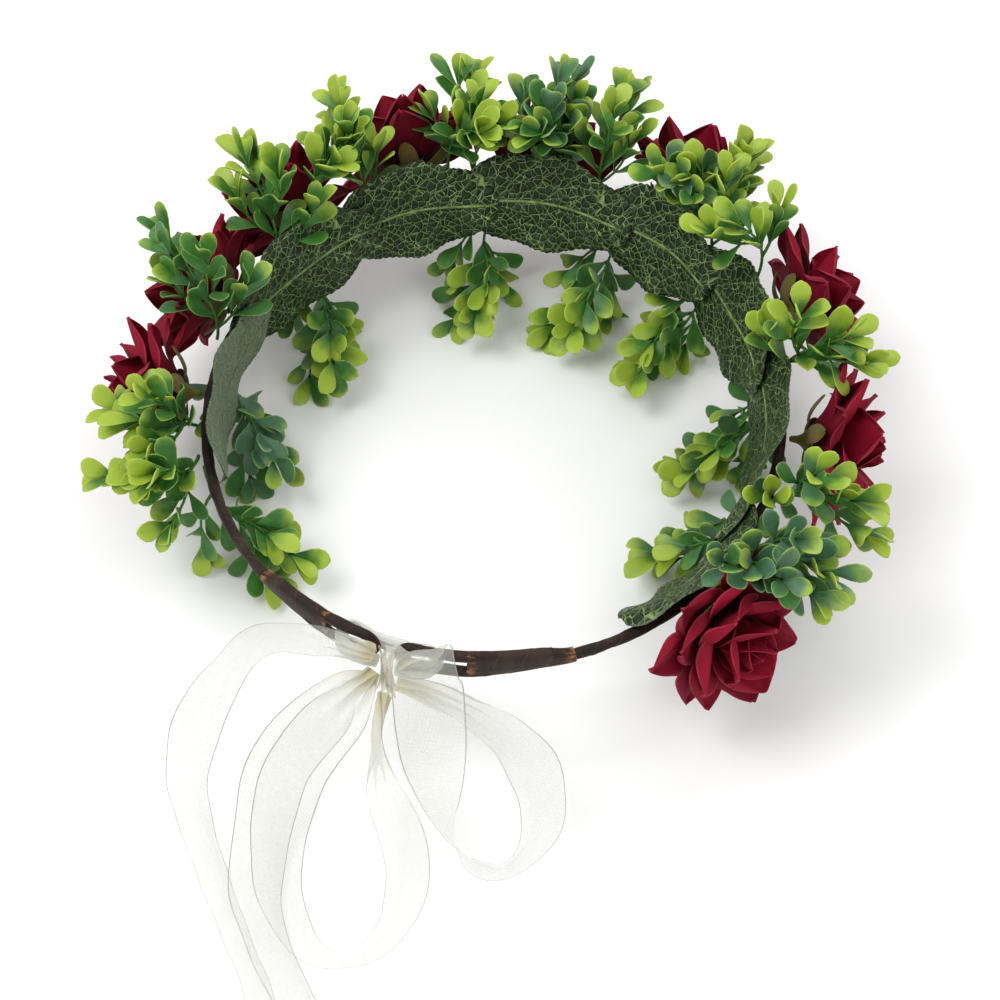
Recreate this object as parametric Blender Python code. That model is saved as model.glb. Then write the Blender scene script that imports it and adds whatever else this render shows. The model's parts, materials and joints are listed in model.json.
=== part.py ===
"""A flower crown: an open ring of taped wire dressed as a garland, closed by a ribbon bow.

Metres, +Z up. The origin is the centre of the ring, at the height of its wire.
+Y is the middle of the garland and -Y is the bow. Angles are in degrees about
the ring, counted from +X towards +Y. The crown lies as on a table: the lower
sprigs and the ribbon's edges come down to about 40 mm under the wire.
"""

import math

import bmesh
import bpy
from mathutils import Matrix, Vector

# The head ring
FRONT_ANGLE = 270.0
RING_HALF_WIDTH = 0.0940
RING_HALF_DEPTH = 0.0987
GARLAND_START = -39.0
GARLAND_END = 217.0
CLEARANCE = 0.0004

# Wire and its paper tape
WIRE_RADIUS = 0.0007
TAPE_BORE = 0.0011
TAPE_RADIUS = 0.00175
ARM_JOINT_GAP = 0.0008
BOW_OFFSET = 0.00164
EYE_TIP_OFFSET = 0.00427
LEFT_EYE_LENGTH = 0.033
RIGHT_EYE_LENGTH = 0.043
EYE_HALF_HEIGHT = 0.005
EYE_FORK_SHARE = 0.35
BINDING_LENGTH = 0.009
BINDING_WALL = 0.0008
BINDING_SETBACK = 0.0008
TAIL_PAST_BINDING = 0.0015

# Roses
CALYX_LENGTH = 0.0065
CALYX_RADIUS = 0.0085
ROSE_SEAT_GAP = 0.0009
BLOOM_DEPTH = 0.0255
BLOOM_RADIUS = 0.0215
PETAL_POINTS = 9
PETAL_NOTCH = 0.16

# Fabric leaves that line the garland
LEAF_WIDTH = 0.040
LEAF_THICKNESS = 0.0007
BACK_LEAN = 25.0
LEAF_RISE = 0.0020
LEAF_CUP = 0.0010
LEAF_STEP_BACK = 0.0034
LEAF_OVERLAP = 5.5

# Boxwood sprigs
STEM_RADIUS = 0.0006
SPRIG_LENGTH = 0.040
SPRIG_LEAF_LENGTH = 0.0120
SPRIG_LEAF_WIDTH = 0.0062
SPRIG_LEAF_THICKNESS = 0.0011
SPRIG_LEAF_OUTLINE = ((0.0, 0.12), (0.66, 0.5), (1.0, 0.18))
SPRIG_LEAF_CROWN = 0.6
LEAF_STAGGER = 0.0005

# Ribbon
RIBBON_WIDTH = 0.022
LOOP_THROAT_WIDTH = 0.00616
RIBBON_THICKNESS = 0.0006
STRIP_STEPS = 4
STRIP_COLUMNS = 4
KNOT_SIZE = (0.0048, 0.0054, 0.0230)
KNOT_CENTRE = (0.0032, -0.0053, -0.0035)
KNOT_ROUNDING = 0.0015
LACE_RADIUS = 0.0017

# Each rose: angle, length of its stem, lift and turn of its face in degrees, bloom radius.
ROSES = (
    (196.0, 0.0010, 0.0, 6.0, BLOOM_RADIUS),
    (173.0, 0.0010, 4.0, 0.0, BLOOM_RADIUS),
    (150.5, 0.0030, 8.0, 0.0, BLOOM_RADIUS),
    (126.5, 0.0060, 14.0, 0.0, BLOOM_RADIUS),
    (101.5, 0.0010, -12.0, 0.0, BLOOM_RADIUS),
    (76.5, 0.0080, 16.0, -6.0, BLOOM_RADIUS),
    (43.0, 0.0050, 6.0, 0.0, 0.0230),
    (14.0, 0.0010, 0.0, 0.0, BLOOM_RADIUS),
    (332.0, 0.0010, 8.0, -6.0, 0.0275),
)

# Where one fabric leaf gives way to the next.
# Where one lining leaf hands over to the next, and how far the lining's top leans out there.
LEAF_JOINTS = (
    (212.5, 8.0),
    (178.0, 8.0),
    (144.0, 16.0),
    (116.5, 22.0),
    (84.0, BACK_LEAN),
    (59.5, BACK_LEAN),
    (31.0, 20.0),
    (-9.5, 14.0),
    (-37.0, 48.0),
)

# Each upper sprig: angle, lean against the count of angles and lift of its reach, in degrees.
UPPER_SPRIGS = (
    (212.0, -64.0, -12.0),
    (205.0, -30.0, -12.0),
    (184.5, 12.0, 12.0),
    (162.0, 18.0, 6.0),
    (139.0, 0.0, 6.0),
    (115.0, -12.0, 6.0),
    (102.0, 4.0, 10.0),
    (89.0, -4.0, 6.0),
    (60.0, -22.0, 8.0),
    (28.5, 20.0, 17.0),
    (357.0, 12.0, -8.0),
)
# The last upper sprig stands beside the large rose, this far along the wire from it.
LARGE_ROSE_SPRIG = (0.0222, 12.0, -18.0)

# Each lower sprig: angle and the turn of its reach from straight inwards, in degrees.
LOWER_SPRIGS = (
    (213.0, 46.0),
    (184.0, 44.0),
    (152.0, 34.0),
    (113.0, 12.0),
    (84.0, 2.0),
    (60.0, -6.0),
    (28.0, -26.0),
    (358.0, -26.0),
)

# Ribbon pieces: a chosen centre line in millimetres from the front of the ring, the way
# that the width points, and how much of the full width is spread open there.
TAIL_OUTER = (
    ((-0.7, -5.5, 5.0), (0.0, 0.0, 1.0), 0.2),
    ((-6.0, -7.7, 7.6), (0.0, -0.1, 1.0), 0.5),
    ((-16.0, -9.3, 8.0), (0.0, -0.1, 1.0), 0.9),
    ((-33.0, -12.3, 4.0), (-0.1, -0.2, 0.97), 1.0),
    ((-43.0, -20.3, -7.0), (-0.35, -0.55, 0.75), 1.0),
    ((-48.0, -33.3, -19.0), (-0.5, -0.45, 0.74), 1.0),
    ((-46.0, -48.3, -27.0), (-0.35, -0.45, 0.8), 1.0),
    ((-37.0, -62.3, -29.0), (-0.4, -0.35, 0.85), 1.0),
    ((-23.0, -78.3, -29.5), (-0.35, -0.3, 0.88), 1.0),
    ((-8.0, -94.3, -29.5), (-0.3, -0.35, 0.88), 1.0),
    ((6.0, -109.3, -29.5), (-0.3, -0.3, 0.9), 1.0),
    ((18.0, -125.3, -29.5), (-0.3, -0.25, 0.92), 1.0),
)
TAIL_INNER = (
    ((-0.8, -5.5, -9.4), (0.0, 0.0, 1.0), 0.18),
    ((-7.5, -10.8, -11.5), (-0.6, 0.2, 0.78), 0.55),
    ((-12.0, -19.8, -15.0), (-0.7, 0.05, 0.68), 0.9),
    ((-18.0, -32.3, -20.5), (-0.75, -0.1, 0.65), 1.0),
    ((-19.5, -43.3, -25.0), (-0.8, -0.25, 0.6), 1.0),
    ((-16.0, -61.3, -30.0), (-0.65, -0.2, 0.73), 1.0),
    ((-9.5, -79.3, -30.5), (-0.62, -0.31, 0.72), 1.0),
    ((4.0, -95.3, -31.0), (-0.45, -0.45, 0.77), 1.0),
    ((18.0, -107.3, -31.0), (-0.42, -0.48, 0.77), 1.0),
    ((35.0, -120.3, -31.0), (-0.35, -0.45, 0.82), 1.0),
)
LOOP_LEFT = (
    ((-0.8, -5.7, -5.0), (0.0, 0.0, 1.0), 0.16),
    ((-2.6, -11.3, -7.5), (-0.45, 0.2, 0.85), 0.45),
    ((-6.0, -19.8, -11.5), (-0.75, 0.0, 0.65), 0.85),
    ((-11.5, -32.3, -17.0), (-0.75, -0.1, 0.65), 1.0),
    ((-13.5, -44.3, -22.0), (-0.78, -0.2, 0.62), 1.0),
    ((-10.5, -60.3, -27.0), (-0.65, -0.15, 0.74), 1.0),
    ((-3.5, -75.3, -28.5), (-0.6, -0.3, 0.75), 1.0),
    ((7.0, -85.8, -29.0), (-0.35, -0.5, 0.79), 1.0),
    ((18.0, -89.3, -29.0), (0.0, -0.62, 0.78), 1.0),
    ((28.0, -83.3, -29.0), (0.45, -0.45, 0.77), 1.0),
    ((32.5, -71.3, -28.5), (0.62, -0.15, 0.77), 1.0),
    ((30.5, -57.3, -27.0), (0.6, 0.15, 0.78), 1.0),
    ((23.0, -44.8, -24.0), (0.45, 0.3, 0.84), 0.95),
    ((13.0, -34.3, -19.5), (0.25, 0.3, 0.9), 0.8),
    ((7.5, -24.3, -15.5), (0.1, 0.0, 1.0), 0.6),
    ((5.0, -15.8, -12.5), (0.05, -0.1, 1.0), 0.4),
    ((3.8, -8.8, -11.5), (0.0, 0.0, 1.0), 0.2),
)
LOOP_RIGHT = (
    ((10.0, -4.9, 3.4), (1.0, 0.1, 0.0), LOOP_THROAT_WIDTH / RIBBON_WIDTH),
    ((11.6, -4.4, 8.0), (1.0, 0.2, 0.0), 0.5),
    ((13.2, -5.0, 12.2), (0.95, 0.32, 0.0), 0.85),
    ((15.2, -8.2, 11.6), (0.95, 0.32, 0.0), 1.0),
    ((16.8, -9.8, 6.8), (0.95, 0.32, 0.0), 1.0),
    ((18.5, -9.8, 0.5), (0.95, 0.32, 0.0), 1.0),
    ((22.0, -16.3, -9.0), (0.95, 0.3, 0.1), 1.0),
    ((27.0, -25.3, -18.0), (0.88, 0.0, 0.42), 1.0),
    ((34.0, -35.3, -25.5), (0.6, -0.45, 0.66), 1.0),
    ((44.0, -43.8, -29.0), (0.35, -0.6, 0.72), 1.0),
    ((54.0, -44.3, -30.0), (0.2, -0.6, 0.77), 1.0),
    ((61.0, -36.3, -30.0), (0.5, -0.35, 0.79), 1.0),
    ((62.0, -24.3, -27.5), (0.62, 0.0, 0.78), 1.0),
    ((55.0, -12.3, -23.0), (0.4, 0.35, 0.84), 1.0),
    ((43.0, -5.8, -17.5), (0.15, 0.2, 0.96), 0.95),
    ((29.0, -3.8, -12.5), (0.0, 0.0, 1.0), 0.75),
    ((15.0, -5.1, -9.0), (0.0, 0.0, 1.0), 0.45),
    ((6.6, -5.3, -8.2), (0.0, 0.0, 1.0), 0.25),
)


def clear_scene():
    for item in list(bpy.data.objects):
        bpy.data.objects.remove(item, do_unlink=True)


def finish(name, colour, roughness, metallic=0.0):
    """A Principled BSDF material in one plain finish."""
    material = bpy.data.materials.new(name)
    material.use_nodes = True
    shader = material.node_tree.nodes["Principled BSDF"]
    shader.inputs["Base Color"].default_value = (*colour, 1.0)
    shader.inputs["Roughness"].default_value = roughness
    shader.inputs["Metallic"].default_value = metallic
    return material


def add_object(name, mesh, material, parent=None):
    """Links a mesh as one named node with its material, shaded smooth where it is round."""
    node = bpy.data.objects.new(name, mesh)
    bpy.context.scene.collection.objects.link(node)
    mesh.materials.clear()
    mesh.materials.append(material)
    mesh.shade_smooth()
    mesh.set_sharp_from_angle(angle=math.radians(40.0))
    if parent is not None:
        node.parent = parent
        node.matrix_parent_inverse = parent.matrix_world.inverted()
    return node


def add_pivot(name, location):
    """An empty on a joint's axis, which the pieces of that body hang from."""
    pivot = bpy.data.objects.new(name, None)
    pivot.location = location
    bpy.context.scene.collection.objects.link(pivot)
    bpy.context.view_layer.update()
    return pivot


def ring_frame(angle, out=0.0, up=0.0):
    """Axes at a place on the ring: X outwards, Y along the ring, Z up."""
    turn = math.radians(angle)
    along = Vector(
        (-RING_HALF_WIDTH * math.sin(turn), RING_HALF_DEPTH * math.cos(turn), 0.0)
    ).normalized()
    outward = Vector((along.y, -along.x, 0.0))
    on_ring = Vector((RING_HALF_WIDTH * math.cos(turn), RING_HALF_DEPTH * math.sin(turn), 0.0))
    place = on_ring + outward * out + Vector((0.0, 0.0, up))
    axes = Matrix((outward, along, Vector((0.0, 0.0, 1.0)))).transposed().to_4x4()
    return Matrix.Translation(place) @ axes


def degrees_along(length, angle):
    """How many degrees of the ring a length along its wire takes at this angle."""
    turn = math.radians(angle)
    speed = math.hypot(RING_HALF_WIDTH * math.sin(turn), RING_HALF_DEPTH * math.cos(turn))
    return math.degrees(length / speed)


def from_front(point):
    """A place given in metres from the ring's front."""
    return ring_frame(FRONT_ANGLE).translation + Vector(point)


def smooth_through(points, per_span):
    """A Catmull-Rom curve through the points, with per_span steps between neighbours."""
    ends = [points[0] * 2 - points[1], *points, points[-1] * 2 - points[-2]]
    curve = []
    for i in range(1, len(ends) - 2):
        before, start, end, after = ends[i - 1 : i + 3]
        for step in range(per_span):
            t = step / per_span
            curve.append(
                0.5
                * (
                    2 * start
                    + (end - before) * t
                    + (2 * before - 5 * start + 4 * end - after) * t**2
                    + (3 * start - before - 3 * end + after) * t**3
                )
            )
    curve.append(points[-1])
    return curve


def tangents_of(path):
    found = []
    for i in range(len(path)):
        ahead = path[min(i + 1, len(path) - 1)]
        behind = path[max(i - 1, 0)]
        found.append((ahead - behind).normalized())
    return found


def mesh_of_rings(name, rings, hollow_rings=None):
    """A closed solid skinned over rings of points, with a bore where hollow_rings are given."""
    shape = bmesh.new()
    outer = [[shape.verts.new(point) for point in ring] for ring in rings]
    skins = [(outer, False)]
    if hollow_rings is not None:
        inner = [[shape.verts.new(point) for point in ring] for ring in hollow_rings]
        skins.append((inner, True))
    for skin, inside in skins:
        for first, second in zip(skin, skin[1:]):
            count = len(first)
            for i in range(count):
                j = (i + 1) % count
                corners = (first[i], first[j], second[j], second[i])
                shape.faces.new(corners[::-1] if inside else corners)
    if hollow_rings is None:
        shape.faces.new(outer[0][::-1])
        shape.faces.new(outer[-1])
    else:
        count = len(outer[0])
        for i in range(count):
            j = (i + 1) % count
            shape.faces.new((outer[0][j], outer[0][i], inner[0][i], inner[0][j]))
            shape.faces.new((outer[-1][i], outer[-1][j], inner[-1][j], inner[-1][i]))
    bmesh.ops.recalc_face_normals(shape, faces=shape.faces[:])
    bmesh.ops.triangulate(shape, faces=[face for face in shape.faces if len(face.verts) > 4])
    mesh = bpy.data.meshes.new(name)
    shape.to_mesh(mesh)
    shape.free()
    return mesh


def swept_rings(path, radii, sides):
    """Rings of a round section carried along a path without twisting."""
    tangents = tangents_of(path)
    normal = tangents[0].orthogonal().normalized()
    rings = []
    for point, tangent, radius in zip(path, tangents, radii):
        normal = (normal - tangent * normal.dot(tangent)).normalized()
        side = tangent.cross(normal)
        rings.append(
            [
                point
                + normal * (radius * math.cos(2 * math.pi * k / sides))
                + side * (radius * math.sin(2 * math.pi * k / sides))
                for k in range(sides)
            ]
        )
    return rings


def tube(name, path, outer_radius, bore_radius=None, sides=8):
    rings = swept_rings(path, [outer_radius] * len(path), sides)
    if bore_radius is None:
        return mesh_of_rings(name, rings)
    bore = swept_rings(path, [bore_radius] * len(path), sides)
    return mesh_of_rings(name, rings, bore)


def joined(name, pieces):
    """One closed solid: the Boolean union of the meshes."""
    base = bpy.data.objects.new(name, pieces[0])
    group = bpy.data.collections.new(name + "_pieces")
    bpy.context.scene.collection.objects.link(base)
    bpy.context.scene.collection.children.link(group)
    for piece in pieces[1:]:
        group.objects.link(bpy.data.objects.new(piece.name, piece))
    union = base.modifiers.new("union", "BOOLEAN")
    union.operation = "UNION"
    union.solver = "EXACT"
    union.operand_type = "COLLECTION"
    union.collection = group
    bpy.context.view_layer.update()
    graph = bpy.context.evaluated_depsgraph_get()
    mesh = bpy.data.meshes.new_from_object(base.evaluated_get(graph))
    for item in [base, *group.objects]:
        bpy.data.objects.remove(item, do_unlink=True)
    bpy.data.collections.remove(group)
    return mesh


def wire_path(first_angle, last_angle, step):
    count = max(2, round(abs(last_angle - first_angle) / step) + 1)
    angles = [first_angle + (last_angle - first_angle) * i / (count - 1) for i in range(count)]
    return [ring_frame(angle).translation for angle in angles]


def arm_path(side, hinge_angle, eye_length):
    """The bare wire from the garland's end to the eye, round the eye and back beside itself."""
    per_metre = degrees_along(1.0, FRONT_ANGLE)
    tip_angle = FRONT_ANGLE + (BOW_OFFSET + side * EYE_TIP_OFFSET) * per_metre
    bend_angle = tip_angle + side * EYE_HALF_HEIGHT * per_metre
    throat_angle = tip_angle + side * eye_length * per_metre
    fork_angle = throat_angle - side * EYE_FORK_SHARE * eye_length * per_metre
    gap_angle = degrees_along(ARM_JOINT_GAP / 2, hinge_angle)
    start_angle = hinge_angle - side * gap_angle
    path = wire_path(start_angle, throat_angle, 4.0)
    path.append(ring_frame((throat_angle + fork_angle) / 2, up=-EYE_HALF_HEIGHT / 2).translation)
    path.append(ring_frame(fork_angle, up=-EYE_HALF_HEIGHT).translation)
    for step in range(7):
        turn = math.radians(-90.0 + 30.0 * step)
        angle = bend_angle - side * EYE_HALF_HEIGHT * math.cos(turn) * per_metre
        path.append(ring_frame(angle, up=EYE_HALF_HEIGHT * math.sin(turn)).translation)
    beside = 2 * TAPE_RADIUS + CLEARANCE
    path.append(ring_frame(fork_angle, up=EYE_HALF_HEIGHT).translation)
    path.append(ring_frame(throat_angle, up=beside).translation)
    end_angle = throat_angle + side * (BINDING_LENGTH + TAIL_PAST_BINDING) * per_metre
    path.append(ring_frame((throat_angle + end_angle) / 2, up=beside).translation)
    path.append(ring_frame(end_angle, up=beside).translation)
    return path, throat_angle


def binding_mesh(name, side, throat_angle):
    """The sleeve of tape that binds the wire's folded end to its arm."""
    beside = 2 * TAPE_RADIUS + CLEARANCE
    per_metre = degrees_along(1.0, throat_angle)
    near_angle = throat_angle + side * BINDING_SETBACK * per_metre
    far_angle = near_angle + side * BINDING_LENGTH * per_metre
    bore = TAPE_RADIUS + CLEARANCE
    outer_rings, bore_rings = [], []
    for step in range(4):
        frame = ring_frame(near_angle + (far_angle - near_angle) * step / 3)
        for rings, radius in ((outer_rings, bore + BINDING_WALL), (bore_rings, bore)):
            ring = []
            for k in range(12):
                turn = 2 * math.pi * (k + 0.5) / 12
                centre = beside if math.sin(turn) > 0 else 0.0
                reach = radius / math.cos(math.pi / 12)
                ring.append(
                    frame
                    @ Vector((reach * math.cos(turn), 0.0, centre + reach * math.sin(turn)))
                )
            rings.append(ring)
    return mesh_of_rings(name, outer_rings, bore_rings)


def turned_rings(profile, sides, points=0, notch=0.0):
    """Rings about the X axis; the share of each ring that is petal points notches its rim."""
    rings = []
    for along, radius, pointed in profile:
        ring = []
        for k in range(sides):
            turn = 2 * math.pi * k / sides
            dip = notch * pointed * (0.5 - 0.5 * math.cos(points * turn))
            reach = radius * (1.0 - dip)
            ring.append(Vector((along, reach * math.cos(turn), reach * math.sin(turn))))
        rings.append(ring)
    return rings


def rose_frame(angle, lift, turn):
    seat = ring_frame(angle, out=TAPE_RADIUS + ROSE_SEAT_GAP)
    return seat @ Matrix.Rotation(math.radians(turn), 4, "Z") @ Matrix.Rotation(
        math.radians(-lift), 4, "Y"
    )


def calyx_mesh(name, stem_length):
    """Stem, hip and five sepals, seated on the wire and pointing along +X."""
    profile = (
        (0.0, 0.0013, 0.0),
        (stem_length + 0.30 * CALYX_LENGTH, 0.0018, 0.0),
        (stem_length + 0.60 * CALYX_LENGTH, 0.0042, 0.0),
        (stem_length + CALYX_LENGTH, CALYX_RADIUS, 1.0),
    )
    return mesh_of_rings(name, turned_rings(profile, 10, points=5, notch=0.35))


def bloom_mesh(name, stem_length, radius):
    """The whole flower head as one closed solid with a pointed rim, along +X from its back."""
    back = stem_length + CALYX_LENGTH + CLEARANCE
    profile = (
        (back, 0.42 * radius, 0.0),
        (back + 0.16 * BLOOM_DEPTH, 0.72 * radius, 0.4),
        (back + 0.42 * BLOOM_DEPTH, 0.96 * radius, 1.0),
        (back + 0.62 * BLOOM_DEPTH, radius, 1.0),
        (back + 0.84 * BLOOM_DEPTH, 0.72 * radius, 0.8),
        (back + BLOOM_DEPTH, 0.3 * radius, 0.0),
    )
    sides = 2 * PETAL_POINTS
    return mesh_of_rings(name, turned_rings(profile, sides, points=PETAL_POINTS, notch=PETAL_NOTCH))


def leaf_mesh(name, first_joint, last_joint):
    """One fabric leaf, bent to the ring, leaning out at the top and shingled on the next."""
    stations = 9
    seat = TAPE_RADIUS + LEAF_THICKNESS + CLEARANCE
    step_back = 0.0 if last_joint == LEAF_JOINTS[-1] else LEAF_STEP_BACK
    start_angle = first_joint[0] + LEAF_OVERLAP
    end_angle = last_joint[0] - LEAF_OVERLAP
    rings = []
    for i in range(stations):
        share = i / (stations - 1)
        angle = start_angle + (end_angle - start_angle) * share
        lean = math.radians(first_joint[1] + (last_joint[1] - first_joint[1]) * share)
        half = LEAF_WIDTH / 2 * (0.16 + 0.84 * math.sin(math.pi * share) ** 0.62)
        inset = seat / math.cos(lean) + step_back * share
        frame = ring_frame(angle)
        ring = []
        for face in (1, -1):
            for across in (-1, 0, 1) if face == 1 else (1, 0, -1):
                cup = LEAF_CUP * (1 - abs(across))
                out = -inset - cup + across * half * math.sin(lean)
                out += face * LEAF_THICKNESS / 2 * math.cos(lean)
                up = across * half * math.cos(lean) - face * LEAF_THICKNESS / 2 * math.sin(lean)
                ring.append(frame @ Vector((out, 0.0, up + LEAF_RISE)))
        rings.append(ring)
    return mesh_of_rings(name, rings)


def small_leaf_mesh(name, place, length, width):
    """One spoon-shaped sprig leaf along +X, its stalk end at the place's origin."""
    shape = bmesh.new()
    left = [Vector((x * length, y * width, 0.0)) for x, y in SPRIG_LEAF_OUTLINE]
    right = [Vector((point.x, -point.y, 0.0)) for point in reversed(left)]
    crown = SPRIG_LEAF_CROWN * length
    rim = [shape.verts.new(place @ point) for point in left + right]
    top = shape.verts.new(place @ Vector((crown, 0.0, SPRIG_LEAF_THICKNESS / 2)))
    low = shape.verts.new(place @ Vector((crown, 0.0, -SPRIG_LEAF_THICKNESS / 2)))
    for first, second in zip(rim, rim[1:] + rim[:1]):
        shape.faces.new((first, second, top))
        shape.faces.new((second, first, low))
    bmesh.ops.recalc_face_normals(shape, faces=shape.faces[:])
    mesh = bpy.data.meshes.new(name)
    shape.to_mesh(mesh)
    shape.free()
    return mesh


def sprig_mesh(name, stem_points, first_leaf, pairs, leaf_scale):
    """A stem with opposite pairs of leaves and one at its tip, joined into one solid."""
    path = smooth_through([Vector(point) for point in stem_points], 1)
    tangents = tangents_of(path)
    radii = [STEM_RADIUS * (1.0 - 0.3 * i / (len(path) - 1)) for i in range(len(path))]
    pieces = [mesh_of_rings(name, swept_rings(path, radii, 4))]
    lengths = [0.0]
    for before, after in zip(path, path[1:]):
        lengths.append(lengths[-1] + (after - before).length)
    for pair in range(pairs + 1):
        want = lengths[-1] * (first_leaf + (0.985 - first_leaf) * pair / pairs)
        i = max(k for k in range(len(path) - 1) if lengths[k] <= want)
        share = (want - lengths[i]) / (lengths[i + 1] - lengths[i])
        place = path[i].lerp(path[i + 1], share)
        along = tangents[i].lerp(tangents[i + 1], share).normalized()
        side = along.orthogonal().normalized()
        side = Matrix.Rotation(math.radians(90.0 * (pair % 2) + 20.0), 3, along) @ side
        sides = (side, -side) if pair < pairs else (Vector((0.0, 0.0, 0.0)),)
        for k, away in enumerate(sides):
            grow = (along * 0.8 + away).normalized()
            flat = grow.cross(away if pair < pairs else side).normalized()
            face = flat.cross(grow).normalized()
            axes = Matrix((grow, flat, -face)).transposed().to_4x4()
            size = leaf_scale * (1.0 - 0.18 * abs(pair / pairs - 0.4))
            root = place + along * (k * LEAF_STAGGER) - grow * (STEM_RADIUS / 2)
            pieces.append(
                small_leaf_mesh(
                    f"{name}_leaf_{pair}_{k}",
                    Matrix.Translation(root) @ axes,
                    SPRIG_LEAF_LENGTH * size,
                    SPRIG_LEAF_WIDTH * size,
                )
            )
    return joined(name, pieces)


def strip_mesh(name, stations):
    """A ribbon piece as a thin closed strip through its stations."""
    centres = [from_front(Vector(centre) / 1000) for centre, _, _ in stations]
    centres = smooth_through(centres, STRIP_STEPS)
    widths = smooth_through(
        [Vector(way).normalized() * spread for _, way, spread in stations], STRIP_STEPS
    )
    rings = []
    for centre, tangent, spread in zip(centres, tangents_of(centres), widths):
        share = spread.length
        across = (spread - tangent * spread.dot(tangent)).normalized()
        normal = tangent.cross(across).normalized()
        half = across * (RIBBON_WIDTH / 2 * share)
        skin = normal * (RIBBON_THICKNESS / 2)
        shares = [1.0 - 2.0 * i / STRIP_COLUMNS for i in range(STRIP_COLUMNS + 1)]
        face = [centre + half * share + skin for share in shares]
        back = [centre + half * share - skin for share in reversed(shares)]
        rings.append(face + back)
    return mesh_of_rings(name, rings)


def knot_mesh(name):
    """The pinched wrap of ribbon at the middle of the bow."""
    shape = bmesh.new()
    bmesh.ops.create_cube(shape, size=1.0)
    bmesh.ops.scale(shape, vec=KNOT_SIZE, verts=shape.verts[:])
    upright = [
        edge
        for edge in shape.edges
        if abs(edge.verts[0].co.z - edge.verts[1].co.z) > KNOT_SIZE[2] / 2
    ]
    bmesh.ops.bevel(shape, geom=upright, offset=KNOT_ROUNDING, segments=2, affect="EDGES")
    bmesh.ops.translate(shape, vec=from_front(KNOT_CENTRE), verts=shape.verts[:])
    mesh = bpy.data.meshes.new(name)
    shape.to_mesh(mesh)
    shape.free()
    return mesh


def lacing_mesh(name):
    """The gathered ribbon from the knot through one eye, behind both tips and back."""
    points = (
        (0.2, -4.9, 0.0),
        (-5.0, -4.9, 0.0),
        (-11.0, -3.5, 0.0),
        (-14.0, 0.7, 0.0),
        (-11.5, 5.3, 0.0),
        (-4.0, 6.7, 0.0),
        (6.0, 6.7, 0.0),
        (14.0, 5.7, 0.0),
        (17.2, 1.5, 0.0),
        (15.0, -2.9, 0.0),
        (10.5, -4.7, 0.0),
        (6.2, -4.9, 0.0),
    )
    path = smooth_through([from_front(Vector(point) / 1000) for point in points], 2)
    return tube(name, path, LACE_RADIUS, sides=6)


def build_wires(left_pivot, right_pivot):
    steel = finish("floral_wire", (0.25, 0.24, 0.23), 0.45, 1.0)
    tape = finish("paper_tape", (0.045, 0.028, 0.02), 0.75)
    garland_path = wire_path(GARLAND_START, GARLAND_END, 7.1)
    add_object("garland_wire", tube("garland_wire", garland_path, WIRE_RADIUS, sides=6), steel)
    add_object(
        "garland_tape", tube("garland_tape", garland_path, TAPE_RADIUS, TAPE_BORE, 6), tape
    )
    arms = (
        ("left", -1, GARLAND_END, LEFT_EYE_LENGTH, left_pivot),
        ("right", 1, GARLAND_START + 360.0, RIGHT_EYE_LENGTH, right_pivot),
    )
    for label, side, hinge_angle, eye_length, pivot in arms:
        path, throat_angle = arm_path(side, hinge_angle, eye_length)
        wire = tube(label + "_arm_wire", path, WIRE_RADIUS, sides=6)
        add_object(label + "_arm_wire", wire, steel, pivot)
        sleeve = tube(label + "_arm_tape", path, TAPE_RADIUS, TAPE_BORE, 6)
        add_object(label + "_arm_tape", sleeve, tape, pivot)
        binding = binding_mesh(label + "_eye_binding", side, throat_angle)
        add_object(label + "_eye_binding", binding, tape, pivot)


def build_roses():
    burgundy = finish("rose_cloth", (0.16, 0.006, 0.022), 0.85)
    sepal = finish("calyx_cloth", (0.16, 0.11, 0.03), 0.8)
    for number, (angle, stem_length, lift, turn, radius) in enumerate(ROSES, 1):
        frame = rose_frame(angle, lift, turn)
        calyx = calyx_mesh(f"rose_{number}_calyx", stem_length)
        calyx.transform(frame)
        add_object(f"rose_{number}_calyx", calyx, sepal)
        bloom = bloom_mesh(f"rose_{number}_bloom", stem_length, radius)
        bloom.transform(frame)
        add_object(f"rose_{number}_bloom", bloom, burgundy)


def build_leaves():
    green = finish("leaf_cloth", (0.03, 0.065, 0.03), 0.7)
    for number, (first, last) in enumerate(zip(LEAF_JOINTS, LEAF_JOINTS[1:]), 1):
        name = f"lining_leaf_{number}"
        add_object(name, leaf_mesh(name, first, last), green)


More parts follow.
